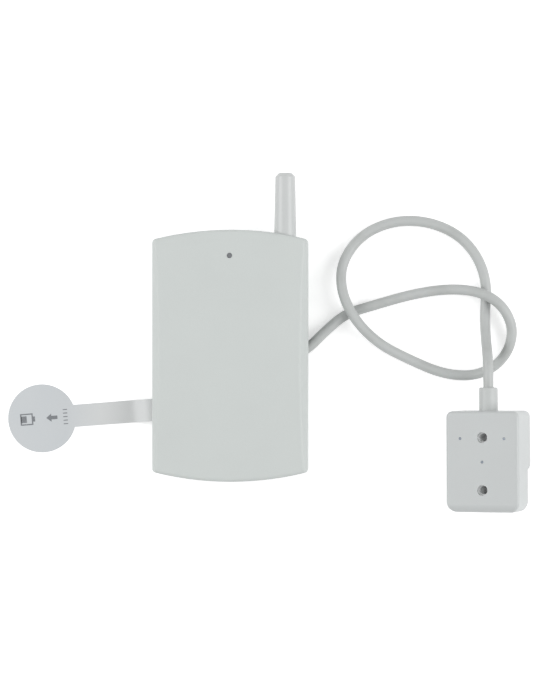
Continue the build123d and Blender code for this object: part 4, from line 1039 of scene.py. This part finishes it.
marks = bmesh.new()
arrow = [marks.verts.new(((ARROW_AT + x) * MM, y * MM, 0)) for x, y in ARROW_OUTLINE]
marks.faces.new(arrow)
for step in range(BAR_COUNT):
    ink_rectangle(marks, BARS_AT, (step - (BAR_COUNT - 1) / 2) * BAR_PITCH, BAR_SIZE)
ink_rectangle(marks, BATTERY_AT - (BATTERY_SIZE[0] + BATTERY_NUB[0]) / 2, 0, BATTERY_NUB)
ink_rectangle(marks, BATTERY_AT + BATTERY_CHARGE[0] / 2, 0, BATTERY_CHARGE)
rim = ink_rectangle(marks, BATTERY_AT, 0, BATTERY_SIZE)
bmesh.ops.inset_region(marks, faces=rim, thickness=BATTERY_WALL * MM, use_boundary=True)
bmesh.ops.delete(marks, geom=rim, context="FACES")
raise_ink(marks, tab_place)
finish_piece("tab_marks", marks, tab_ink)

# Small components on the board: ceramic bodies between tinned end caps, each on its solder pads.
# Sizes are in millimetres

CAP_LENGTH_SHARE = 0.22
BODY_SHRINK = 0.06
CAP_BEVEL = 0.05
PAD_OVERHANG = 0.35
PAD_MARGIN = 0.1
PAD_DEPTH = 0.07
PIN_PAD_MARGIN = 0.15
PIN_PAD_DEPTH = 0.035
PAD_OVERLAP = 0.01
PAD_BEVEL = 0.01
MERGE_DISTANCE = 0.001

board_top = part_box("circuit_board")[1].z


def islands(node):
    """The lowest and highest corner of each separate solid in a node."""
    form = bmesh.new()
    form.from_mesh(nodes[node].data)
    bmesh.ops.remove_doubles(form, verts=form.verts, dist=MERGE_DISTANCE * MM)
    left = set(form.verts)
    boxes = []
    while left:
        front = [left.pop()]
        group = []
        while front:
            corner = front.pop()
            group.append(corner.co.copy())
            for edge in corner.link_edges:
                other = edge.other_vert(corner)
                if other in left:
                    left.remove(other)
                    front.append(other)
        low = Vector([min(p[i] for p in group) for i in range(3)])
        high = Vector([max(p[i] for p in group) for i in range(3)])
        boxes.append((low, high))
    form.free()
    return sorted(boxes, key=lambda box: tuple(box[0]))


def block(form, low, high, bevel):
    """A block between two corners, its edges softened by a bevel in millimetres."""
    made = bmesh.ops.create_cube(form, size=1.0)
    size = high - low
    bmesh.ops.scale(form, vec=size, verts=made["verts"])
    bmesh.ops.translate(form, vec=(low + high) / 2, verts=made["verts"])
    edges = list({edge for corner in made["verts"] for edge in corner.link_edges})
    bmesh.ops.bevel(
        form,
        geom=edges,
        offset=bevel * MM,
        segments=2,
        profile=0.5,
        affect="EDGES",
        material=-1,
    )


ceramics = bmesh.new()
caps = bmesh.new()
pads = bmesh.new()
for low, high in islands("chip_components"):
    run = 0 if high.x - low.x > high.y - low.y else 1
    cap = (high[run] - low[run]) * CAP_LENGTH_SHARE
    shrink = Vector([BODY_SHRINK * MM] * 3)
    shrink[run] = cap / 2
    block(ceramics, low + shrink, high - shrink, CAP_BEVEL)
    for end in (0, 1):
        near, far = low.copy(), high.copy()
        if end:
            near[run] = high[run] - cap
        else:
            far[run] = low[run] + cap
        block(caps, near, far, CAP_BEVEL)
        margin = Vector((PAD_MARGIN * MM, PAD_MARGIN * MM, 0))
        pad_low = near - margin
        pad_high = far + margin
        if end:
            pad_high[run] += PAD_OVERHANG * MM
        else:
            pad_low[run] -= PAD_OVERHANG * MM
        pad_low.z = board_top - PAD_OVERLAP * MM
        pad_high.z = board_top + PAD_DEPTH * MM
        block(pads, pad_low, pad_high, PAD_BEVEL)
for low, high in islands("chip_pins"):
    margin = Vector((PIN_PAD_MARGIN * MM, PIN_PAD_MARGIN * MM, 0))
    pad_low = low - margin
    pad_high = high + margin
    pad_low.z = board_top - PAD_OVERLAP * MM
    pad_high.z = board_top + PIN_PAD_DEPTH * MM
    block(pads, pad_low, pad_high, PAD_BEVEL)
component_bodies = finish_piece("component_bodies", ceramics, component_ceramic)
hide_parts("chip_components")
finish_piece("component_caps", caps, tin_solder)
finish_piece("solder_pads", pads, tin_solder)

# White outlines printed round the larger components, in millimetres

OUTLINE_GAP = 0.5
OUTLINE_WIDTH = 0.18

outlines = bmesh.new()
for node in ("microcontroller", "radio_chip", "resonator", "crystal", "capacitor", "cable_socket"):
    low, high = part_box(node)
    size = [(high[i] - low[i]) / MM + 2 * (OUTLINE_GAP + OUTLINE_WIDTH) for i in (0, 1)]
    middle = (low + high) / 2 / MM
    rim = ink_rectangle(outlines, middle.x, middle.y, size)
    bmesh.ops.inset_region(outlines, faces=rim, thickness=OUTLINE_WIDTH * MM, use_boundary=True)
    bmesh.ops.delete(outlines, geom=rim, context="FACES")
raise_ink(outlines, Matrix.Translation((0, 0, board_top - INK_OVERLAP * MM)))
finish_piece("board_outlines", outlines, board_ink)

# Table top and white surroundings. The radius is in metres. TABLE_GLOW is how strongly the table
# shines where it is looked at, and the world has one strength as light and one where it is looked at

TABLE_RADIUS = 3.0
TABLE_GLOW = 0.42
WORLD_LIGHT = 0.45
WORLD_SEEN = 1.0

table = bpy.data.meshes.new("table_top")
form = bmesh.new()
bmesh.ops.create_circle(form, cap_ends=True, segments=64, radius=TABLE_RADIUS)
form.to_mesh(table)
form.free()
table_top = bpy.data.objects.new("table_top", table)
scene.collection.objects.link(table_top)


def seen_directly(tree):
    """1 where the camera, a mirror or a clear piece looks at the surface, otherwise 0."""
    path = add(tree, "ShaderNodeLightPath")
    mirrored = add(
        tree,
        "ShaderNodeMath",
        LARGER,
        i0=path.outputs["Is Camera Ray"],
        i1=path.outputs["Is Glossy Ray"],
    )
    any_way = add(
        tree,
        "ShaderNodeMath",
        LARGER,
        i0=mirrored.outputs["Value"],
        i1=path.outputs["Is Transmission Ray"],
    )
    return any_way.outputs["Value"]


def white_laminate():
    """Matt white laminate: pale and even, so that the object's own shadow is all that shows on it."""
    material, tree, place = start_finish("matt_white_laminate")
    fleck = add(tree, "ShaderNodeTexNoise", Vector=place, Scale=per_metre(2.0))
    white = add(
        tree,
        "ShaderNodeMix",
        COLOURS,
        Factor=fleck.outputs["Fac"],
        i6=hex_colour("F6F6F6"),
        i7=hex_colour("F8F8F8"),
    )
    glow = add(tree, "ShaderNodeMath", TIMES, i0=seen_directly(tree), i1=TABLE_GLOW)
    shader = add(
        tree,
        "ShaderNodeBsdfPrincipled",
        Base_Color=white.outputs[2],
        Roughness=0.9,
        Emission_Color=(1, 1, 1, 1),
        Emission_Strength=glow.outputs["Value"],
    )
    return end_finish(material, shader)


table.materials.append(white_laminate())

world = bpy.data.worlds.new("white_studio")
world.use_nodes = True
tree = world.node_tree
tree.nodes.clear()
lit = add(
    tree,
    "ShaderNodeMapRange",
    Value=seen_directly(tree),
    To_Min=WORLD_LIGHT,
    To_Max=WORLD_SEEN,
)
sky = add(tree, "ShaderNodeBackground", Color=(1, 1, 1, 1), Strength=lit.outputs["Result"])
add(tree, "ShaderNodeOutputWorld", Surface=sky.outputs["Background"])
scene.world = world

# Two soft lamps, one on each side, in metres and watts. They stand high, so that the cover mirrors
# little of them to a low view

LAMP_SIZE = 1.25
LAMPS_AIM = (0.015, 0.0, 0.0)
LEFT_LAMP_AT = (-1.58, 0.3, 1.18)
LEFT_LAMP_POWER = 18.6
RIGHT_LAMP_AT = (1.62, -0.1, 1.14)
RIGHT_LAMP_POWER = 20.0


def soft_lamp(name, place, power):
    """A square soft lamp that points at the object."""
    lamp = bpy.data.lights.new(name, "AREA")
    lamp.shape = "SQUARE"
    lamp.size = LAMP_SIZE
    lamp.energy = power
    holder = bpy.data.objects.new(name, lamp)
    holder.location = place
    towards = Vector(LAMPS_AIM) - Vector(place)
    holder.rotation_euler = towards.to_track_quat("-Z", "Y").to_euler()
    scene.collection.objects.link(holder)


soft_lamp("lamp_left", LEFT_LAMP_AT, LEFT_LAMP_POWER)
soft_lamp("lamp_right", RIGHT_LAMP_AT, RIGHT_LAMP_POWER)

scene.view_settings.view_transform = "Standard"
